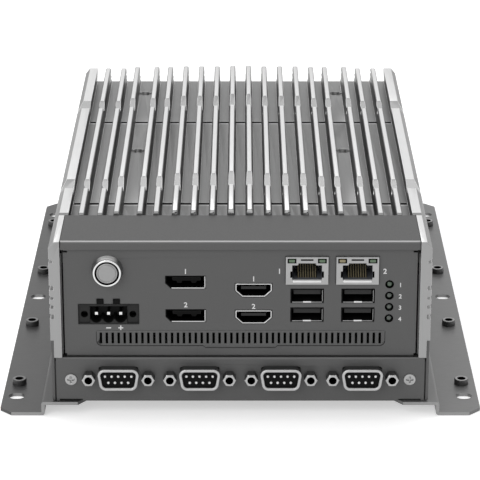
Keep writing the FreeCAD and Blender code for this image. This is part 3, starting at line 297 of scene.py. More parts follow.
def facing_group():
    """Masks from the surface's normal: straight up, sideways, to the front, a gentle fall to the front, a
    fold, and the upper side of a collar. Each rises between two values of the cosine to its direction."""
    sides = (("Up", (0, 0, 1), 0.97, 0.99), ("Side", (1, 0, 0), 0.5, 0.75), ("Front", (0, -1, 0), 0.8, 0.95),
             ("Fall", (0, -0.39, 0.92), 0.955, 0.985), ("Fold", (0, -0.71, 0.71), 0.93, 0.97),
             ("Crown", (0, -0.26, 0.966), 0.72, 0.94))
    group, _, result = new_group("facing", [], [(side[0], "NodeSocketFloat") for side in sides])
    nodes, links = group.nodes, group.links
    shape = nodes.new("ShaderNodeNewGeometry")
    for side, direction, start, full in sides:
        along = nodes.new("ShaderNodeVectorMath")
        along.operation = "DOT_PRODUCT"
        along.inputs[1].default_value = direction
        size = nodes.new("ShaderNodeMath")
        size.operation = "ABSOLUTE" if side == "Side" else "MULTIPLY"
        size.inputs[1].default_value = 1.0
        edge = nodes.new("ShaderNodeMapRange")
        edge.inputs["From Min"].default_value = start
        edge.inputs["From Max"].default_value = full
        links.new(shape.outputs["True Normal"], along.inputs[0])
        links.new(along.outputs["Value"], size.inputs[0])
        links.new(size.outputs[0], edge.inputs["Value"])
        links.new(edge.outputs["Result"], result.inputs[side])
    return group


MOTTLE = mottle_group()
FACING = facing_group()


def finish(name, low, high, rough=(0.4, 0.5), metal=0.0, scale=900.0, stretch=(1, 1, 1), bump=0.0, coat=0.0,
           specular=0.5, tint=PLAIN):
    """Material of two close grey levels in fine noise, tinted, with a slight relief where bump is given."""
    material = bpy.data.materials.new(name)
    material.use_nodes = True
    nodes, links = material.node_tree.nodes, material.node_tree.links
    shader = nodes["Principled BSDF"]
    shader.inputs["Metallic"].default_value = metal
    shader.inputs["Coat Weight"].default_value = coat
    shader.inputs["Specular IOR Level"].default_value = specular
    grain = nodes.new("ShaderNodeGroup")
    grain.node_tree = MOTTLE
    grain.name = "grain"
    grain.inputs["Low"].default_value = tone(low, tint)
    grain.inputs["High"].default_value = tone(high, tint)
    grain.inputs["Stretch"].default_value = stretch
    grain.inputs["Scale"].default_value = scale
    grain.inputs["Rough Low"].default_value = rough[0]
    grain.inputs["Rough High"].default_value = rough[1]
    links.new(grain.outputs["Color"], shader.inputs["Base Color"])
    links.new(grain.outputs["Roughness"], shader.inputs["Roughness"])
    if bump:
        relief = nodes.new("ShaderNodeBump")
        relief.inputs["Distance"].default_value = bump
        relief.inputs["Strength"].default_value = 0.6
        links.new(grain.outputs["Height"], relief.inputs["Height"])
        links.new(relief.outputs["Normal"], shader.inputs["Normal"])
    return material


def add_group(material, tree):
    """Place a shader group in a material."""
    made = material.node_tree.nodes.new("ShaderNodeGroup")
    made.node_tree = tree
    return made


def mixed(material, colour, mask, other):
    """Colour where mask is 0 and the plain colour other where it is 1."""
    mix = material.node_tree.nodes.new("ShaderNodeMix")
    mix.data_type = "RGBA"
    mix.inputs["B"].default_value = other
    material.node_tree.links.new(mask, mix.inputs["Factor"])
    material.node_tree.links.new(colour, mix.inputs["A"])
    return mix.outputs["Result"]


def span_mask(material, axis, empty, full):
    """Mask that rises from 0 to 1 between two places along an axis of the piece."""
    nodes, links = material.node_tree.nodes, material.node_tree.links
    where = nodes.new("ShaderNodeTexCoord")
    parts = nodes.new("ShaderNodeSeparateXYZ")
    ramp = nodes.new("ShaderNodeMapRange")
    ramp.inputs["From Min"].default_value = empty
    ramp.inputs["From Max"].default_value = full
    links.new(where.outputs["Object"], parts.inputs[0])
    links.new(parts.outputs[axis], ramp.inputs["Value"])
    return ramp.outputs["Result"]


def band_mask(material, axis, start, end):
    """Mask that is 1 between two places along an axis."""
    edge = 0.1 * MM
    rise = span_mask(material, axis, start - edge, start)
    return both(material, rise, span_mask(material, axis, end + edge, end))


def both(material, first, second):
    """Product of two masks."""
    product = material.node_tree.nodes.new("ShaderNodeMath")
    product.operation = "MULTIPLY"
    material.node_tree.links.new(first, product.inputs[0])
    material.node_tree.links.new(second, product.inputs[1])
    return product.outputs[0]


def coloured(material, layers):
    """Lay plain colours over a material's grain, each where its mask is 1."""
    shader = material.node_tree.nodes["Principled BSDF"]
    colour = material.node_tree.nodes["grain"].outputs["Color"]
    for mask, other in layers:
        colour = mixed(material, colour, mask, other)
    material.node_tree.links.new(colour, shader.inputs["Base Color"])
    return material


def painted_steel(name, fold_highlight, fold_edge, slots=None):
    """Dark grey fine powder coat, with painted shade that darkens level faces. A painted highlight brightens
    the upper edge of a 45 degree fold, and painted shade darkens the walls of slots between two heights."""
    material = finish(name, 79, 86, (0.42, 0.55), 0.0, 1500.0, bump=4e-6)
    facing = add_group(material, FACING)
    edge = both(material, facing.outputs["Fold"], span_mask(material, "Z", fold_edge - 0.6 * MM, fold_edge))
    # painted light: level faces are darkened as shade, and the fold's upper edge is brightened as a highlight
    layers = [(facing.outputs["Up"], tone(53)), (edge, tone(fold_highlight))]
    if slots:
        # painted shade: the walls of the slots are darkened
        walls = rest_of(material, facing.outputs["Front"])
        layers.append((both(material, band_mask(material, "Z", *slots), walls), tone(7)))
    return coloured(material, layers)


def painted_depth_shade(material, start):
    """Painted shade: the material turns dark where it lies deeper than start, as shade falls in a socket's
    cavity.
    """
    return coloured(material, [(span_mask(material, "Y", start, start + 0.25 * MM), tone(7))])


def collar_with_painted_highlight():
    """Steel collar drawn dark grey as a painted reflection of the plate, with a painted highlight on its
    upper side.
    """
    material = finish("collar_steel", 92, 102, (0.25, 0.35), 0.35, 500.0)
    return coloured(material, [(add_group(material, FACING).outputs["Crown"], tone(250))])


def brushed_flange():
    """Coated sheet of the side brackets with faint lines across the flanges; painted shade darkens the left
    flange, and a painted highlight brightens the faces that look to the front.
    """
    material = finish("brushed_flange", 96, 122, (0.3, 0.45), 0.35, 260.0, (1, 9, 1), bump=2e-6)
    facing = add_group(material, FACING)
    # painted shade on the left flange and a painted highlight on faces that look to the front
    return coloured(material, [(span_mask(material, "X", 20 * MM, -20 * MM), tone(72)),
                               (facing.outputs["Front"], tone(150))])


def extruded_aluminium():
    """Anodised extrusion of one light grey, with painted light and shade: bright crests, darker slopes and
    fin ends, dark flanks, grey channel floors, lighter floors near the hood. Each cross groove is painted
    dark as shade, with a dark lip and a painted highlight line in front of it."""
    material = finish("extruded_aluminium", 206, 218, (0.3, 0.42), 0.7, 300.0, (6, 0.4, 6), bump=2e-6)
    facing = add_group(material, FACING)
    front, up, side = (facing.outputs[name] for name in ("Front", "Up", "Side"))
    low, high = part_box("heat_sink")
    fin_height, bay_depth, groove_width, wall_inside = 8.85 * MM, 33 * MM, 2.2 * MM, 73 * MM
    base, bay_end = high.z - fin_height, low.y + bay_depth
    near_floor, bevelled_ends, grooves = 35 * MM, (0.5 * MM, 3.6 * MM), (34.8 * MM, 155.7 * MM)
    above = span_mask(material, "Z", base - 0.2 * MM, base)
    floor = both(material, up, span_mask(material, "Z", base + 0.6 * MM, base + 0.2 * MM))
    near_end = bay_end + near_floor
    near = both(material, floor, span_mask(material, "Y", near_end + 1 * MM, near_end))
    ends = both(material, above, band_mask(material, "Y", *(bay_end + way for way in bevelled_ends)))
    between = band_mask(material, "X", -wall_inside, wall_inside)
    below = span_mask(material, "Z", base - 0.05 * MM, base - 0.3 * MM)
    flat = both(material, rest_of(material, side), below)
    # painted light and shade: slopes, fronts, fin ends, flanks and floors are lit and shaded copies of the
    # one grey
    layers = [(facing.outputs["Fall"], tone(142)), (front, tone(150)), (ends, tone(120)),
              (both(material, both(material, front, above), between), tone(120)),
              (both(material, side, above), tone(92)), (floor, tone(124)), (near, tone(130))]
    # painted shade in each cross groove and on its lip, and a painted highlight line in front of it
    for groove in grooves:
        band = band_mask(material, "Y", bay_end + groove, bay_end + groove + groove_width)
        layers.append((both(material, band, flat), tone(22)))
        lip = band_mask(material, "Y", bay_end + groove - 0.6 * MM, bay_end + groove)
        layers.append((both(material, lip, floor), tone(30)))
        groove_highlight = band_mask(material, "Y", bay_end + groove - 2.0 * MM, bay_end + groove - 0.7 * MM)
        layers.append((both(material, groove_highlight, floor), tone(178)))
    return coloured(material, layers)


def rest_of(material, mask):
    """One minus a mask."""
    rest = material.node_tree.nodes.new("ShaderNodeMath")
    rest.operation = "SUBTRACT"
    rest.inputs[0].default_value = 1.0
    material.node_tree.links.new(mask, rest.inputs[1])
    return rest.outputs[0]


def hexagon_nickel():
    """Nickel plate of the jack screws: bright hexagonal end, sides in shadow behind it."""
    material = finish("hexagon_nickel", 66, 76, (0.3, 0.42), 0.5, 500.0)
    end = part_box("jack_screws")[0].y
    return coloured(material, [(span_mask(material, "Y", end + 0.5 * MM, end + 0.35 * MM), tone(182))])


def standoff_nickel():
    """Dark grey of the nickel standoffs, with painted light: lighter on top, and lighter still on the right.
    """
    material = finish("standoff_nickel", 62, 74, (0.3, 0.42), 0.5, 500.0)
    top = add_group(material, FACING).outputs["Up"]
    right = both(material, top, span_mask(material, "X", -20 * MM, 20 * MM))
    # painted light on the standoffs' tops, stronger on the right
    return coloured(material, [(top, tone(112)), (right, tone(146))])


BLUISH = (0.95, 1.0, 1.12)
GILT = (1.1, 0.95, 0.6)
LEAF = (0.7, 1.3, 0.65)
AMBER = (1.2, 1.0, 0.5)
PALE_GREEN = (0.88, 1.12, 0.9)
MINT = (0.7, 1.3, 0.75)
DEEP_GREEN = (0.5, 1.4, 0.7)
PLATE_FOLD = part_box("com_front_plate")[1].z
VENT_SLOTS = (31.6 * MM, 36.8 * MM)                   # foot and top of the row of vent slots
PAINT = painted_steel("painted_steel", 118, PLATE_FOLD)
PORT_PAINT = painted_steel("port_paint", 118, PLATE_FOLD, VENT_SLOTS)
HOOD_PAINT = painted_steel("hood_paint", 215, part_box("hood")[1].z)
FLANGE = brushed_flange()
ALUMINIUM = extruded_aluminium()
PLATED = finish("plated_steel", 196, 212, (0.22, 0.34), 0.95, 700.0)
SHIELD = finish("shield_tin", 150, 164, (0.3, 0.42), 0.85, 500.0)
# painted shadow along the raised vent field's edge
VENT_EDGE_SHADOW = finish("vent_edge_shadow", 48, 54, (0.6, 0.7), 0.0, 900.0, specular=0.1)
# painted highlight: the serial shells' round rims, brighter than their barrels of the same steel
RIM_PAINTED_HIGHLIGHT = finish("rim_painted_highlight", 176, 188, (0.3, 0.42), 0.6, 500.0)
HEX = hexagon_nickel()
STANDOFF = standoff_nickel()
BRIGHT = finish("bright_edge", 226, 236, (0.3, 0.4), 0.2, 500.0)
POLISHED = finish("polished_steel", 205, 215, (0.12, 0.18), 1.0, 500.0)
CAP = finish("cap_steel", 141, 149, (0.36, 0.46), 0.9, 900.0)
# painted reflection and painted highlight on the button's collar
COLLAR = collar_with_painted_highlight()
# painted reflection: the serial barrels are darkened to a dark grey
BARREL_PAINTED_REFLECTION = finish("barrel_steel_painted_reflection", 92, 102, (0.25, 0.35), 0.9, 500.0)
SATIN = finish("satin_steel", 158, 168, (0.36, 0.46), 0.9, 900.0, (6, 1, 1))
BLACK = finish("black_moulding", 16, 22, (0.5, 0.6), 0.0, 900.0, bump=2e-6, specular=0.25)
# painted shade inside the inlet's cavity and on the pins behind their tips
INLET = painted_depth_shade(finish("inlet_body", 27, 33, (0.5, 0.6), 0.0, 900.0, bump=2e-6, specular=0.25),
                  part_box("dc_inlet")[0].y + 0.9 * MM)
PIN = painted_depth_shade(finish("inlet_pin", 205, 215, (0.12, 0.18), 1.0, 500.0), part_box("dc_pins")[0].y + 0.15 * MM)
CHARCOAL = finish("inlet_moulding", 27, 33, (0.5, 0.6), 0.0, 900.0, bump=2e-6, specular=0.25)
TONGUE = finish("tongue_moulding", 36, 43, (0.45, 0.55), 0.0, 900.0, specular=0.25)
# near-black of the dark mouldings, also used as painted shade on the metal socket shells
DARK_MOULDING_AND_SHADE = finish("dark_moulding_and_shade", 9, 13, (0.6, 0.7), 0.0, 900.0, specular=0.1)
# painted highlight on lit edges inside the host and display sockets
EDGE_HIGHLIGHT = finish("edge_highlight", 190, 200, (0.3, 0.4), 0.4, 500.0)
INNER = finish("shadowed_bore", 6, 10, (0.8, 0.9), 0.0, 900.0, specular=0.0)
BLUE_GREY = finish("jack_insert", 96, 106, (0.4, 0.5), tint=BLUISH)
GOLD = finish("gilt_contact", 124, 140, (0.25, 0.35), 0.3, tint=GILT)
GREEN_LENS = finish("green_window", 82, 94, (0.2, 0.3), coat=0.5, tint=LEAF)
AMBER_LENS = finish("amber_window", 118, 128, (0.2, 0.3), coat=0.5, tint=AMBER)
LIGHT_ROD = finish("light_rod", 58, 68, (0.15, 0.25), coat=0.6, tint=PALE_GREEN)
LIGHT_GREEN = finish("light_green", 58, 70, (0.15, 0.25), coat=0.6, tint=MINT)
BOARD = finish("solder_mask", 52, 62, (0.3, 0.45), 0.0, 350.0, tint=DEEP_GREEN)
PAD = finish("thermal_pad_grey", 120, 132, (0.8, 0.9))
INK = finish("white_ink", 222, 232, (0.6, 0.7))

NODE_FINISHES = (
    (PLATED, ("heat_sink_screws", "bracket_standoffs", "video_shells", "display_shells", "power_button_nut",
              "power_button_spring", "serial_shells", "jack_screws", "board_standoffs", "board_screws",
              "coin_cell", "com_posts", "com_screws")),
    (SATIN, ("front_plate_screws", "side_screws", "rear_screws", "bracket_screws", "power_button_cap",
             "processor", "heat_spreader", "storage_drive")),
    (BLACK, ("socket_housings", "status_light_guide", "serial_inserts", "memory_socket", "coin_cell_holder")),
    (BOARD, ("mainboard", "memory_module", "com_board", "riser_card")),
    (GOLD, ("lan_contacts", "serial_pins")),
    (TONGUE, ("usb_tongues", "video_tongues")),
    # the metal shells of the host sockets take this near-black as painted shade
    (DARK_MOULDING_AND_SHADE, ("usb_shells", "display_tongues")),
    (FLANGE, ("bracket_left", "bracket_right")),
    (GREEN_LENS, ("lan_windows_green",)),
    (AMBER_LENS, ("lan_window_amber",)),
    (LIGHT_ROD, ("status_lenses",)),
    (BLUE_GREY, ("lan_inserts",)),
    (PIN, ("dc_pins",)),
    (POLISHED, ("power_button_bezel",)),
    (PAD, ("thermal_pad",)),
    (PAINT, ("storage_tray",)),
)
for material, nodes in NODE_FINISHES:
    for node in nodes:
        frame["nodes"][node].data.materials.clear()
        frame["nodes"][node].data.materials.append(material)

SHEET_ROUND = 0.12 * MM
softened("heat_sink", 0.16 * MM, ALUMINIUM)
softened("hood", SHEET_ROUND, HOOD_PAINT)
softened("port_plate", SHEET_ROUND, PORT_PAINT)
for node in ("com_front_plate", "chassis_tray", "rear_panel"):
    softened(node, SHEET_ROUND, PAINT)
softened("lan_shields", 0.1 * MM, SHIELD)
softened("dc_inlet", 0.12 * MM, INLET)


# ---------------------------------------------------------------- places
def middle(node):
    """Middle of a CAD node's box in metres."""
    low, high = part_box(node)
    return (np.array(low) + np.array(high)) / 2


PORT_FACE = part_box("port_plate")[0].y + 0.3 * MM      # the vent field stands 0.3 mm proud of this face
LOWER_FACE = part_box("com_front_plate")[0].y
JACK_SIZE = (17.7 * MM, 12.1 * MM)
JACK_FLOOR = -3.9 * MM                                # floor of the plug cavity, from the jack's middle
BEAD_RADIUS = 5.95 * MM
HOUSING_BORE = 5.1 * MM
LENS_RADIUS = 1.25 * MM


def bar(x0, x1, z0, z1, thick, radius=0.1):
    """Slab given in millimetres."""
    return slab(x0 * MM, x1 * MM, z0 * MM, z1 * MM, thick * MM, radius * MM)


# ---------------------------------------------------------------- power button
def button_proud():
    """How far the button's housing stands out of the port plate."""
    return PORT_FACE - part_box("power_button_bezel")[0].y


def button_piece(name, profile, material, slot="button_steel", **options):
    """Profile of (radius, height) rows turned about the button's axis, with the height leaving the plate."""
    x, _, z = middle("power_button_bezel")
    at = np.array([x, PORT_FACE, z])
    piece(name, [place(turned(profile, 64), at, "front")], material, slot, **options)


def button_collar():
    """Collar that flares from the bead's foot to the plate: a cone with a short straight edge."""
    low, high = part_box("power_button_bezel")
    edge, inner, straight = (high.x - low.x) / 2, 5.6 * MM, 0.25 * MM
    foot = button_proud() - 0.9 * MM
    flare = [(inner, 0), (edge, 0), (edge, straight), (BEAD_RADIUS, foot), (inner, foot)]
    button_piece("button_collar", flare, COLLAR, close_rows=True)


def button_housing():
    """Barrel with a round bead at its front and a bore for the cap; a dark seal sits in the bore's mouth."""
    proud = button_proud()
    barrel, bead_foot = 5.5 * MM, proud - 1.0 * MM
    back = PORT_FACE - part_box("power_button_bezel")[1].y
    floor = back + 1.4 * MM
    housing = [(0, back), (barrel, back), (barrel, bead_foot), (BEAD_RADIUS, bead_foot)]
    housing += quarter_round((BEAD_RADIUS, proud - 0.5 * MM), (BEAD_RADIUS - 0.4 * MM, proud), 1, 6)
    housing += quarter_round((HOUSING_BORE + 0.15 * MM, proud), (HOUSING_BORE, proud - 0.2 * MM), 0, 4)
    housing += [(HOUSING_BORE, floor), (0, floor)]
    button_piece("button_housing", housing, POLISHED, stands_for=("power_button_bezel",))
    seal_bore, front, rear = 4.5 * MM, proud - 0.55 * MM, proud - 2 * MM
    seal = [(seal_bore, front), (HOUSING_BORE, front), (HOUSING_BORE, rear), (seal_bore, rear)]
    button_piece("button_seal", seal, INNER, "black_plastic", close_rows=True)


def button_cap():
    """Cap with a rounded edge, a ring groove in its face, a shoulder for the spring and a guide pin."""
    low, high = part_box("power_button_cap")
    radius, pin, shoulder = (high.x - low.x) / 2, 1.55 * MM, -3.9 * MM
    top, pin_end = PORT_FACE - low.y, PORT_FACE - high.y
    groove = [(0.6 * MM, 0), (0.75 * MM, 0.12 * MM), (0.9 * MM, 0)]
    cap = [(0, pin_end), (pin, pin_end), (pin, shoulder), (radius, shoulder)]
    cap += quarter_round((radius, top - 0.4 * MM), (radius - 0.45 * MM, top), 1, 6)
    cap += [(radius - inset, top - depth) for inset, depth in groove] + [(0, top)]
    button_piece("button_cap", cap, CAP, body=BUTTON, stands_for=("power_button_cap",))


# ---------------------------------------------------------------- sockets of the port plate
def socket_shell(outline, radius, wall, depth):
    """Drawn shell: outer wall, half-round rim, inner wall; the back end is closed by a plate."""
    floor = 0.4 * MM - depth
    profile = [(None, -depth), (0, -depth)]
    profile += quarter_round((0, -wall / 2), (-wall / 2, 0), 1, 4)
    profile += quarter_round((-wall / 2, 0), (-wall, -wall / 2), 0, 4)
    profile += [(-wall, floor), (None, floor)]
    return carried(outline, radius, profile)


def video_corners(width, height):
    """Socket mouth whose two lower corners are cut off below half height, anticlockwise."""
    a, b = width / 2, height / 2
    rise = height * 0.45
    run = rise * 1.1
    return [(a, b), (-a, b), (-a, rise - b), (run - a, -b), (a - run, -b), (a, rise - b)]


def display_corners(width, height):
    """Socket mouth with only the lower left corner cut off, anticlockwise."""
    a, b = width / 2, height / 2
    cut = height * 0.42
    return [(a, b), (-a, b), (-a, cut - b), (cut - a, -b), (a, -b)]


def stacked_shells(name, node, corners, height, wall, radius, material):
    """Two shells, one above the other, from the box of their CAD node, each lined with a dark sheet of
    painted shade.
    """
    low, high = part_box(node)
    outline = rounded_corners(corners(high.x - low.x, height), radius)
    shell = socket_shell(outline, radius, wall, high.y - low.y)
    centres = [((low.x + high.x) / 2, low.y, z) for z in (low.z + height / 2, high.z - height / 2)]
    copies(name, shell, centres, "front", material, "bright_steel", stands_for=(node,))
    outside, inside = -wall - 0.02 * MM, -wall - 0.3 * MM
    front, rear = -0.5 * MM, -11 * MM
    shade_lining = carried(outline, radius, [(outside, front), (outside, rear), (inside, rear), (inside, front)])
    copies(name + "_lining", shade_lining, centres, "front", INNER, "black_plastic", close_rows=True)


def stacked_centres(node, width, height):
    """Front centres of a node's sockets: its box's corners, inset by half a socket."""
    low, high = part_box(node)
    columns = sorted({round(low.x + width / 2, 6), round(high.x - width / 2, 6)})
    rows = sorted({round(low.z + height / 2, 6), round(high.z - height / 2, 6)})
    return [np.array([x, low.y, z]) for x in columns for z in rows]


def jack_faces(centres):
    """Face plates with a stepped mouth, a latch slot, spring notches and windows, with painted shade in the
    small cuts.
    """
    mouth = [(-6.2 * MM, 6.2 * MM, JACK_FLOOR, 2.5 * MM), (-3.9 * MM, 3.9 * MM, 2.5 * MM, 3.4 * MM)]
    cuts = [(-2.6 * MM, 2.6 * MM, 4.5 * MM, 5.2 * MM)]
    notch, window = (6.2, 7.0, -3.0, -0.2), (4.45, 8.15, 3.35, 5.45)
    for side in (-1, 1):
        for near, far, foot, top in (notch, window):
            left, right = sorted((side * near * MM, side * far * MM))
            cuts.append((left, right, foot * MM, top * MM))
    pierced_sheet("jack_faces", *JACK_SIZE, mouth + cuts, 0.2 * MM, centres, SHIELD, "bright_steel")
    # painted shade: dark slabs in the small cuts
    dark = [place(slab(*cut, 0.06 * MM), at, "front") for at in centres for cut in cuts]
    piece("jack_shadows", dark, INNER, "black_plastic")


def jack_contacts(centres):
    """Eight wires a jack, each a rounded section carried from the mouth to the back, where the height grows
    with the 1.1 power of the way; below them a dark bed and comb lie as painted shade in the cavity."""
    front, back, pitch, corner = -2.4 * MM, -9.8 * MM, 1.02 * MM, 0.1 * MM
    a, b = 0.24 * MM, 0.12 * MM
    wire_middles, directions = rounded_corners([(a, b), (-a, b), (-a, -b), (a, -b)], corner, 3)
    ring = wire_middles + corner * directions
    path = np.linspace(0, 1, 12)
    rise = JACK_FLOOR + 0.15 * MM + 6.6 * MM * path ** 1.1
    depth = front + (back - front) * path
    strip = np.stack([np.column_stack([ring[:, 0], ring[:, 1] + z, np.full(len(ring), d)])
                      for z, d in zip(rise, depth)])
    offsets = [np.array([(k - 3.5) * pitch, 0, 0]) for k in range(8)]
    wires = [place(strip + offset, at, "front") for at in centres for offset in offsets]
    piece("jack_wires", wires, GOLD, "contact_brass", stands_for=("lan_contacts",))
    # painted shade: a dark bed on the cavity floor and a dark comb on its back wall
    half, bed_top = 4.1 * MM, JACK_FLOOR + 0.06 * MM
    wall = np.array([0, 0, back - 0.3 * MM])
    comb = slab(-half, half, JACK_FLOOR - 0.02 * MM, JACK_FLOOR + 7.0 * MM, 0.1 * MM) + wall
    section = np.array([(-half, JACK_FLOOR, 0), (half, JACK_FLOOR, 0), (half, bed_top, 0),
                        (-half, bed_top, 0)])
    bed = np.stack([section + wall, section + np.array([0, 0, front - 0.4 * MM])])
    piece("jack_comb_shade", [place(part, at, "front") for at in centres for part in (comb, bed)], TONGUE,
          "insert_plastic")


def jack_lips(centres):
    """Rolled lip below each mouth, brightened as a painted highlight: a long rounded outline carried over a
    quarter round.
    """
    a, b, corner, height = 6.0 * MM, 0.5 * MM, 0.45 * MM, 0.62 * MM
    outline = rounded_corners([(a, b), (-a, b), (-a, -b), (a, -b)], corner, 5)
    roll = [(None, 0), (0, 0)] + quarter_round((0, 0.3 * MM), (-0.4 * MM, height), 1, 5) + [(None, height)]
    lip = carried(outline, corner, roll)
    drop = np.array([0, 0, JACK_FLOOR - 0.75 * MM])
    piece("jack_lips", [place(lip, at + drop, "front") for at in centres], BRIGHT, "bright_steel")


def jack_windows(centres):
    """Rounded panes in the upper corners: three green ones, and an amber one at the right jack's left."""
    pane = bar(-1.25, 1.25, -0.62, 0.62, 0.35, 0.25)
    spots = [at + np.array([side * 6.3 * MM, 0, 4.4 * MM]) for at in centres for side in (-1, 1)]
    amber = spots.pop(2)
    copies("jack_green_lenses", pane, spots, "front", GREEN_LENS, "window_green",
          stands_for=("lan_windows_green",))
    piece("jack_amber_lens", [place(pane, amber, "front")], AMBER_LENS, "window_amber",
          stands_for=("lan_window_amber",))


def network_jacks():
    """Faces, contacts, lips and windows of the two network jacks."""
    centres = stacked_centres("lan_shields", *JACK_SIZE)
    for make in (jack_faces, jack_contacts, jack_lips, jack_windows):
        make(centres)


def host_sockets():
    """Right edge and lower edge inside each shell brightened as painted highlights, and the sprung tab in the
    floor.
    """
    centres = stacked_centres("usb_shells", 13.7 * MM, 6.3 * MM)
    edges = [bar(6.28, 6.42, -2.5, 2.5, 0.1, 0.05), bar(-6.2, 6.2, -2.95, -2.75, 0.1, 0.05)]
    piece("host_edges", [place(edge, at, "front") for at in centres for edge in edges], EDGE_HIGHLIGHT, "bright_steel")
    tab = bar(-1.7, 1.7, -3.05, -2.45, 0.2)
    copies("host_tabs", tab, centres, "front", BRIGHT, "bright_steel")


def display_trim():
    """Right and lower rims of the display sockets brightened as painted highlights, and the edge lines of
    their tongues.
    """
    centres = stacked_centres("display_shells", 16.6 * MM, 5.5 * MM)
    rims = [bar(7.85, 8.25, -2.7, 2.6, 0.08, 0.05), bar(-5.9, 8.25, -2.75, -2.3, 0.08, 0.05)]
    piece("display_rims", [place(rim, at, "front") for at in centres for rim in rims], EDGE_HIGHLIGHT, "bright_steel")
    lines = [bar(-5.3, 6.1, 1.75, 1.87, 0.05, 0.03), bar(-5.45, -5.33, 0.7, 1.87, 0.05, 0.03),
             bar(6.1, 6.22, 0.7, 1.87, 0.05, 0.03)]
    tongue = np.array([0, 1.0 * MM, 0])
    piece("display_lines", [place(line, at + tongue, "front") for at in centres for line in lines], CHARCOAL,
          "black_plastic")


def inlet_lugs():
    """Black fronts of the inlet's two keying lugs."""
    low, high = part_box("dc_inlet")
    at = ((low.x + high.x) / 2, low.y, low.z + 4.4 * MM)
    half = 1.4 * MM
    lugs = [slab(x - half, x + half, 4.55 * MM, 6.8 * MM, 0.1 * MM) for x in (-3.5 * MM, 3.35 * MM)]
    piece("inlet_lugs", [place(lug, at, "front") for lug in lugs], DARK_MOULDING_AND_SHADE, "black_plastic")


# ---------------------------------------------------------------- vents and gaps
def ribbon(path, width, thick):
    """Flat strip along a path of (x, z) points: four corners a point, offset along the path's normal."""
    path = np.array(path, float)
    along = np.gradient(path, axis=0)
    normal = np.stack([-along[:, 1], along[:, 0]], -1) / np.linalg.norm(along, axis=1, keepdims=True)
    sides = [(-width / 2, 0.0), (width / 2, 0.0), (width / 2, thick), (-width / 2, thick)]
    return np.stack([np.column_stack([path + offset * normal, np.full(len(path), height)])
                     for offset, height in sides], 1)


def vent_outline():
    """Painted shadow: a dark line round the raised vent field, down a side, along the foot with a step in it,
    and up again.
    """
    left, right, step, foot = -60.3 * MM, 60.6 * MM, 14.6 * MM, 30.9 * MM
    drop, corner, top, slope = 0.9 * MM, 2.0 * MM, 37.3 * MM, 1 * MM
    turn = np.linspace(0, np.pi / 2, 7)
    path = [(left, top), (left, foot + corner + slope)]
    path += [(left + corner * (1 - math.cos(a)), foot + corner * (1 - math.sin(a))) for a in turn]
    path += [(-step - slope, foot), (-step, foot - drop), (step, foot - drop), (step + slope, foot)]
    path += [(right - corner * (1 - math.cos(a)), foot + corner * (1 - math.sin(a))) for a in turn[::-1]]
    path += [(right, foot + corner + slope), (right, top)]
    at = (0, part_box("port_plate")[0].y + 0.28 * MM, -0.2 * MM)
    piece("vent_outline", [place(ribbon(path, 0.4 * MM, 0.03 * MM), at, "front")], VENT_EDGE_SHADOW, "grey_steel")


def gap_strips():
    """Front edges of the hood's flanges, seen in the gaps beside the port plate."""
    low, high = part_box("port_plate")
    strips = []
    for side in (-1, 1):
        near, far = sorted((side * 74.35 * MM, side * 74.85 * MM))
        strip = slab(near, far, low.z + 1 * MM, high.z - 4 * MM, 0.2 * MM)
        strips.append(place(strip, (0, low.y + 0.8 * MM, 0), "front"))
    piece("flange_edges", strips, PAINT, "grey_steel")


# ---------------------------------------------------------------- serial sockets
def serial_centres():
    """Centres of the four serial sockets on the plate's face, from the record's fastening patterns."""
    spots = [MOUNTS[name]["pos_m"] for name in sorted(MOUNTS) if name.startswith("serial_jacks")]
    return [np.array([x, LOWER_FACE, z]) for x, _, z in spots]


def serial_corners(width, height):
    """D-shaped mouth: wide side up, flanks leaning in by 10 degrees, anticlockwise."""
    a, b = width / 2, height / 2
    lean = height * math.tan(math.radians(10))
    return [(a, b), (-a, b), (lean - a, -b), (a - lean, -b)]


def serial_piece(name, profile, material, slot, **options):
    """Profile carried round the D-shaped mouth of each serial socket."""
    radius = 2.9 * MM
    outline = rounded_corners(serial_corners(18.5 * MM, 9.6 * MM), radius, 8)
    shape = carried(outline, radius, profile)
    copies(name, shape, serial_centres(), "front", material, slot, **options)


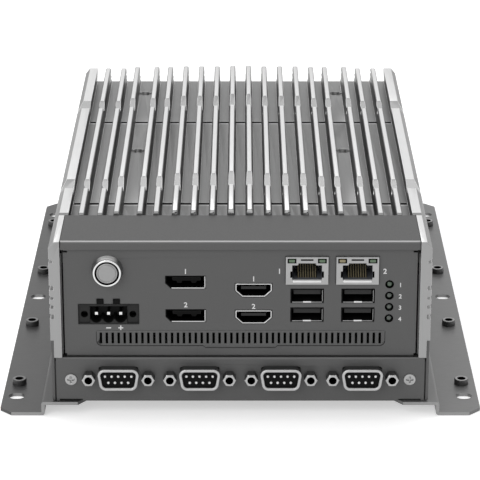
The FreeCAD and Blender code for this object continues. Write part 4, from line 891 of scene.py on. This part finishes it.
def serial_sockets():
    """Shells drawn dark as a painted reflection, with a round rim brightened as a painted highlight, black
    inserts, round-nosed pins.
    """
    proud = LOWER_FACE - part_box("serial_shells")[0].y
    wall, inset, lip, rear = 1.25 * MM, 0.15 * MM, 0.3 * MM, 2.9 * MM
    seat = proud - 0.6 * MM
    barrel = [(-inset, 0), (-inset, seat), (-wall, seat), (-wall, -rear), (-wall - lip, -rear),
              (-wall - lip, 0)]
    serial_piece("serial_barrels", barrel, BARREL_PAINTED_REFLECTION, "bright_steel", stands_for=("serial_shells",),
                 close_rows=True)
    foot, crown = proud - 0.65 * MM, proud - 0.5 * MM
    rim = [(-inset, foot)] + quarter_round((0, crown), (-wall / 2, proud), 1, 6)
    rim += quarter_round((-wall / 2, proud), (-wall, crown), 0, 6) + [(-wall, foot)]
    serial_piece("serial_rims", rim, RIM_PAINTED_HIGHLIGHT, "bright_steel", close_rows=True)
    depth, face = -12 * MM, proud - 1.1 * MM
    insert = [(None, depth), (-wall, depth), (-wall, face), (None, face)]
    serial_piece("serial_faces", insert, DARK_MOULDING_AND_SHADE, "black_plastic", stands_for=("serial_inserts",))
    pin_radius, tip, pitch, half_row = 0.58 * MM, proud - 0.5 * MM, 2.77 * MM, 1.42 * MM
    pin = [(0, 0), (pin_radius, 0)] + quarter_round((pin_radius, tip - pin_radius), (0, tip), 1, 5)
    nose = turned(pin, 14)
    rows = ((1, 5), (-1, 4))
    spots = [np.array([(k - (count - 1) / 2) * pitch, 0, row * half_row]) for row, count in rows
             for k in range(count)]
    piece("serial_pin_noses", [place(nose, at + spot, "front") for at in serial_centres() for spot in spots],
          BRIGHT, "contact_brass", stands_for=("serial_pins",))


# ---------------------------------------------------------------- jack screws and other fasteners
def hex_head(across_flats, length, mouth, chamfer):
    """Hexagonal head: the radius at an angle is half the flats over cos of the angle to the nearest flat,
    cut by a cone at the face, with a wide bore that takes the dark sheet of painted shade."""
    sides, floor = 72, length - 3.6 * MM
    angle = np.linspace(0, 2 * np.pi, sides, endpoint=False)
    flat = across_flats / 2 / np.cos((angle + np.pi / 2 + np.pi / 6) % (np.pi / 3) - np.pi / 6)
    corner = across_flats / math.sqrt(3)
    rows = [(0, 0), (flat, 0), (flat, length - chamfer),
            (np.minimum(flat, corner - chamfer), length - chamfer / 2),
            (np.minimum(flat, across_flats / 2 - 0.1 * MM), length), (mouth, length), (mouth, floor),
            (0, floor)]
    one = np.ones(sides)
    return np.stack([np.stack([r * np.cos(angle), r * np.sin(angle), h * one], -1) for r, h in rows])


def threaded_bore(bore, mouth, top, depth):
    """Profile of a bore's dark sheet of painted shade: a cone at the mouth, a wall that waves as a thread
    does, and a floor.
    """
    outer, base, cone, thread = mouth + 0.05 * MM, top - depth, 0.25 * MM, 0.08 * MM
    wave = [(bore + thread * (k % 2), top - d) for k, d in enumerate(np.linspace(cone, depth, 15))]
    return [(0, base - 0.1 * MM), (outer, base - 0.1 * MM), (outer, top - 0.02 * MM)] + wave + [(0, base)]


def jack_screws():
    """Eight hexagonal jack screws with open bores in shadow."""
    length = LOWER_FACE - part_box("jack_screws")[0].y
    mount = MOUNTS["serial_jacks_1"]["dims"]
    bore, spread = mount["hole_r_mm"] * MM, mount["spacing_x_mm"] / 2 * MM
    places = [at + np.array([side * spread, 0, 0]) for at in serial_centres() for side in (-1, 1)]
    head = hex_head(4.9 * MM, length, bore + 0.25 * MM, 0.3 * MM)
    copies("jack_screw_heads", head, places, "front", HEX, "bright_steel", stands_for=("jack_screws",))
    shade_lining = turned(threaded_bore(bore, bore + 0.22 * MM, length, 3.4 * MM), 24)
    copies("jack_bores", shade_lining, places, "front", INNER, "bright_steel")


def cross_head(radius, height, rings=22, sides=72):
    """Low domed head: height falls with the square of the radius, and a tapered cross is sunk in it where the
    smaller of |x| and |y| is under the slot's half width."""
    share = np.concatenate([np.linspace(0, 0.98, rings), [1.0, 1.0]])
    angle = np.linspace(0, 2 * np.pi, sides, endpoint=False)
    x = radius * np.outer(share, np.cos(angle))
    y = radius * np.outer(share, np.sin(angle))
    z = np.outer(height * (1 - 0.35 * share ** 2), np.ones(sides))
    narrow, long = np.minimum(np.abs(x), np.abs(y)), np.maximum(np.abs(x), np.abs(y))
    across = np.clip((0.17 * radius - narrow) / (0.08 * radius), 0, 1)
    along = np.clip((0.62 * radius - long) / (0.12 * radius), 0, 1)
    z -= 0.75 * height * (across * along)
    z[-2] = height * 0.45
    z[-1] = 0
    return np.concatenate([np.stack([x, y, z], -1), np.zeros((1, sides, 3))])


def screw_set(name, node, places, facing, radius, height):
    """Cross-recessed heads in place of a CAD node's plain ones."""
    copies(name, cross_head(radius, height), places, facing, SATIN, "screw_steel", stands_for=(node,))


def corner_points(node, keep_x, keep_y, keep_z, inset):
    """Middles of the heads at the corners of a CAD node's box, inset by a head's radius."""
    low, high = (np.array(corner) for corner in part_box(node))
    choices = [sorted({low[axis] + inset, high[axis] - inset}) if keep is None else [keep]
               for axis, keep in enumerate((keep_x, keep_y, keep_z))]
    return [np.array([x, y, z]) for x in choices[0] for y in choices[1] for z in choices[2]]


def fasteners():
    """Every visible screw head."""
    small, sunk, side_radius = 2.5 * MM, 2.95 * MM, 2.4 * MM
    sunk_height, rear_height, proud = 1.6 * MM, 1.3 * MM, 0.9 * MM
    row = middle("front_plate_screws")[2]
    screw_set("front_screw_heads", "front_plate_screws",
              corner_points("front_plate_screws", None, LOWER_FACE, row, small), "front", small, proud)
    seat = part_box("heat_sink_screws")[1].z - sunk_height
    screw_set("sink_screw_heads", "heat_sink_screws",
              corner_points("heat_sink_screws", None, None, seat, sunk), "up", sunk, sunk_height)
    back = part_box("rear_panel")[1].y
    screw_set("rear_screw_heads", "rear_screws",
              corner_points("rear_screws", None, back, None, side_radius), "back", side_radius, rear_height)
    low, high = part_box("side_screws")
    height = middle("side_screws")[2]
    for facing, face in (("left", low.x + proud), ("right", high.x - proud)):
        places = corner_points("side_screws", face, None, height, side_radius)
        screw_set("side_screw_heads_" + facing, "side_screws", places, facing, side_radius, proud)


def standoff_rings():
    """Round standoffs with a bevelled mouth and a threaded bore lined with painted shade, on the flanges."""
    low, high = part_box("bracket_standoffs")
    height, outer, bevel, wall, floor = high.z - low.z, 3.05 * MM, 0.3 * MM, 0.15 * MM, 0.4 * MM
    bore = MOUNTS["standoffs_outer"]["dims"]["hole_r_mm"] * MM
    profile = [(0, 0), (outer, 0)] + quarter_round((outer, height - bevel), (outer - bevel, height), 1, 4)
    profile += [(bore + bevel, height), (bore + wall, height - wall), (bore + wall, floor), (0, floor)]
    places = []
    for mount in (MOUNTS["standoffs_outer"], MOUNTS["standoffs_inner"]):
        x, y, _ = mount["pos_m"]
        half_x, half_y = mount["dims"]["spacing_x_mm"] / 2 * MM, mount["dims"]["spacing_y_mm"] / 2 * MM
        places += [(x + sx * half_x, y + sy * half_y, low.z) for sx in (-1, 1) for sy in (-1, 1)]
    copies("standoff_rings", turned(profile, 40), places, "up", STANDOFF, "bright_steel",
          stands_for=("bracket_standoffs",))
    shade_lining = threaded_bore(bore, bore + wall, height - wall, height - 0.7 * MM)
    copies("standoff_bores", turned(shade_lining, 24), places, "up", INNER, "bright_steel")


# ---------------------------------------------------------------- status lights
def status_lights():
    """Sleeves in painted shade round each lens, with a round lip, and small domed lenses, four in a column.
    """
    low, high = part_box("status_lenses")
    x, radius = (low.x + high.x) / 2, (high.x - low.x) / 2
    places = [(x, PORT_FACE, z) for z in np.linspace(low.z + radius, high.z - radius, 4)]
    outer, inner, depth = 1.75 * MM, 1.26 * MM, -2 * MM
    sleeve = [(outer, depth), (outer, 0)] + quarter_round((outer, 0.05 * MM), (1.5 * MM, 0.2 * MM), 1, 4)
    sleeve += quarter_round((1.45 * MM, 0.2 * MM), (inner, -0.1 * MM), 0, 4) + [(inner, depth)]
    # painted shade: dark sleeves round the lenses
    copies("light_sleeves", turned(sleeve, 32), places, "front", INNER, "black_plastic", close_rows=True)
    rod_end, brow, tip = -6 * MM, -0.7 * MM, -0.1 * MM
    lens = [(0, rod_end), (LENS_RADIUS, rod_end)] + quarter_round((LENS_RADIUS, brow), (0, tip), 1, 8)
    domes = [place(turned(lens, 32), at, "front") for at in places]
    piece("light_lenses", domes[:3], LIGHT_ROD, "light_lens", stands_for=("status_lenses",))
    piece("light_lens_top", domes[3:], LIGHT_GREEN, "light_lens")


# ---------------------------------------------------------------- printed signs
def sign(name, text, x, z, size):
    """White ink sign on the port plate: a flat text outline made a mesh and laid just off the face."""
    curve = bpy.data.curves.new(name, "FONT")
    curve.body = text
    curve.size = size
    curve.offset = 0.022 * size
    curve.align_x = "CENTER"
    curve.align_y = "CENTER"
    writer = bpy.data.objects.new(name + "_outline", curve)
    bpy.context.collection.objects.link(writer)
    bpy.context.view_layer.update()
    mesh = bpy.data.meshes.new_from_object(writer.evaluated_get(bpy.context.evaluated_depsgraph_get()))
    bpy.data.objects.remove(writer)
    points = np.zeros(len(mesh.vertices) * 3)
    mesh.vertices.foreach_get("co", points)
    points = points.reshape(-1, 3)
    ink_face = PORT_FACE - 0.03 * MM
    laid = np.column_stack([points[:, 0] + x, np.full(len(points), ink_face), points[:, 1] + z])
    mesh.vertices.foreach_set("co", laid.ravel())
    mesh.materials.clear()
    shown(mesh, name, INK, CHASSIS, ())


def printed_signs():
    """Plain numbers by the sockets and lights, and the poles' signs under the inlet."""
    size, light_size, pole_size = 3.1 * MM, 2.6 * MM, 4.0 * MM
    above_lower = (5.7 + 1.9) * MM
    for node, name in (("display_shells", "display"), ("video_shells", "video")):
        low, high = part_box(node)
        x = (low.x + high.x) / 2
        sign(name + "_number_1", "1", x, high.z + 2.0 * MM, size)
        sign(name + "_number_2", "2", x, low.z + above_lower, size)
    low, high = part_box("lan_shields")
    height, gap = (low.z + high.z) / 2 - 0.6 * MM, 2.6 * MM
    sign("network_number_1", "1", low.x - gap, height, size)
    sign("network_number_2", "2", high.x + gap, height, size)
    low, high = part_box("status_lenses")
    for k, z in enumerate(np.linspace(high.z - LENS_RADIUS, low.z + LENS_RADIUS, 4)):
        sign("light_number_%d" % (k + 1), str(k + 1), high.x + 3.3 * MM, z - 0.4 * MM, light_size)
    inlet, pitch = middle("dc_pins")[0], 5.1 * MM
    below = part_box("dc_inlet")[0].z - 2.0 * MM
    sign("pole_minus", "−", inlet, below, pole_size)
    sign("pole_plus", "+", inlet + pitch, below, pole_size)


button_collar()
button_housing()
button_cap()
stacked_shells("video_shells_drawn", "video_shells", video_corners, height=5.9 * MM, wall=0.5 * MM,
               radius=0.5 * MM, material=PLATED)
# the display sockets' metal shells are drawn near-black as painted shade
stacked_shells("display_shells_drawn", "display_shells", display_corners, height=5.5 * MM, wall=0.25 * MM,
               radius=0.4 * MM, material=DARK_MOULDING_AND_SHADE)
network_jacks()
host_sockets()
display_trim()
inlet_lugs()
vent_outline()
gap_strips()
serial_sockets()
jack_screws()
fasteners()
standoff_rings()
status_lights()
printed_signs()


# ---------------------------------------------------------------- studio
def lamp(name, place_at, aim, size, power):
    """Rectangular soft lamp that looks at aim."""
    data = bpy.data.lights.new(name, "AREA")
    data.shape = "RECTANGLE"
    data.size, data.size_y = size
    data.energy = power
    made = bpy.data.objects.new(name, data)
    bpy.context.collection.objects.link(made)
    direction = np.array(aim) - np.array(place_at)
    made.location = place_at
    made.rotation_euler = (math.atan2(math.hypot(direction[0], direction[1]), -direction[2]), 0,
                           math.atan2(direction[0], -direction[1]) + math.pi)
    return made


def white_rays(nodes, links):
    """Largest of the camera, glossy and transmission ray masks."""
    rays = nodes.new("ShaderNodeLightPath")
    first = nodes.new("ShaderNodeMath")
    first.operation = "MAXIMUM"
    second = nodes.new("ShaderNodeMath")
    second.operation = "MAXIMUM"
    links.new(rays.outputs["Is Camera Ray"], first.inputs[0])
    links.new(rays.outputs["Is Glossy Ray"], first.inputs[1])
    links.new(first.outputs[0], second.inputs[0])
    links.new(rays.outputs["Is Transmission Ray"], second.inputs[1])
    return second.outputs[0]


def backdrop(ambient):
    """World that is white to look at and gives a plain ambient level."""
    world = bpy.data.worlds.new("studio")
    bpy.context.scene.world = world
    world.use_nodes = True
    nodes, links = world.node_tree.nodes, world.node_tree.links
    sky = nodes["Background"]
    level = nodes.new("ShaderNodeMapRange")
    level.inputs["To Min"].default_value = ambient
    level.inputs["To Max"].default_value = 1.0
    links.new(white_rays(nodes, links), level.inputs["Value"])
    sky.inputs["Color"].default_value = (1, 1, 1, 1)
    links.new(level.outputs["Result"], sky.inputs["Strength"])


def studio_floor(height, glow):
    """Wide pale floor: a diffuse sheet with a little glow for the rays that look at it."""
    reach = 6.0
    mesh = bpy.data.meshes.new("studio_floor")
    mesh.from_pydata([(-reach, -reach, height), (reach, -reach, height), (reach, reach, height),
                      (-reach, reach, height)], [], [(0, 1, 2, 3)])
    material = bpy.data.materials.new("pale_floor")
    material.use_nodes = True
    nodes, links = material.node_tree.nodes, material.node_tree.links
    shader = nodes["Principled BSDF"]
    shader.inputs["Base Color"].default_value = (0.8, 0.8, 0.8, 1)
    shader.inputs["Roughness"].default_value = 0.9
    shader.inputs["Specular IOR Level"].default_value = 0.0
    shader.inputs["Emission Color"].default_value = (1, 1, 1, 1)
    strength = nodes.new("ShaderNodeMath")
    strength.operation = "MULTIPLY"
    strength.inputs[1].default_value = glow
    links.new(white_rays(nodes, links), strength.inputs[0])
    links.new(strength.outputs[0], shader.inputs["Emission Strength"])
    floor = bpy.data.objects.new("studio_floor", mesh)
    floor.data.materials.append(material)
    bpy.context.collection.objects.link(floor)


def camera(place_at, elevation, lens, shift):
    """Level camera that looks along +Y and down by elevation degrees."""
    data = bpy.data.cameras.new("camera")
    data.lens = lens
    data.sensor_width = 36.0
    data.shift_x = shift
    data.clip_end = 50.0
    made = bpy.data.objects.new("camera", data)
    bpy.context.collection.objects.link(made)
    made.location = place_at
    made.rotation_euler = (math.radians(90 - elevation), 0, 0)
    bpy.context.scene.camera = made


backdrop(ambient=0.55)
studio_floor(CAD_LOW.z - 0.2 * MM, glow=0.5)
AIM = (0, 0, 0.05)
lamp("top_light", (0.0, 0.5, 1.6), AIM, size=(1.6, 1.2), power=14.0)
lamp("front_light", (-0.9, -1.4, 1.1), AIM, size=(1.2, 1.2), power=10.0)
camera((0.675 * MM, -1070.04 * MM, 420.06 * MM), elevation=20.0, lens=181.35, shift=-0.004)
bpy.context.scene.view_settings.view_transform = "Standard"
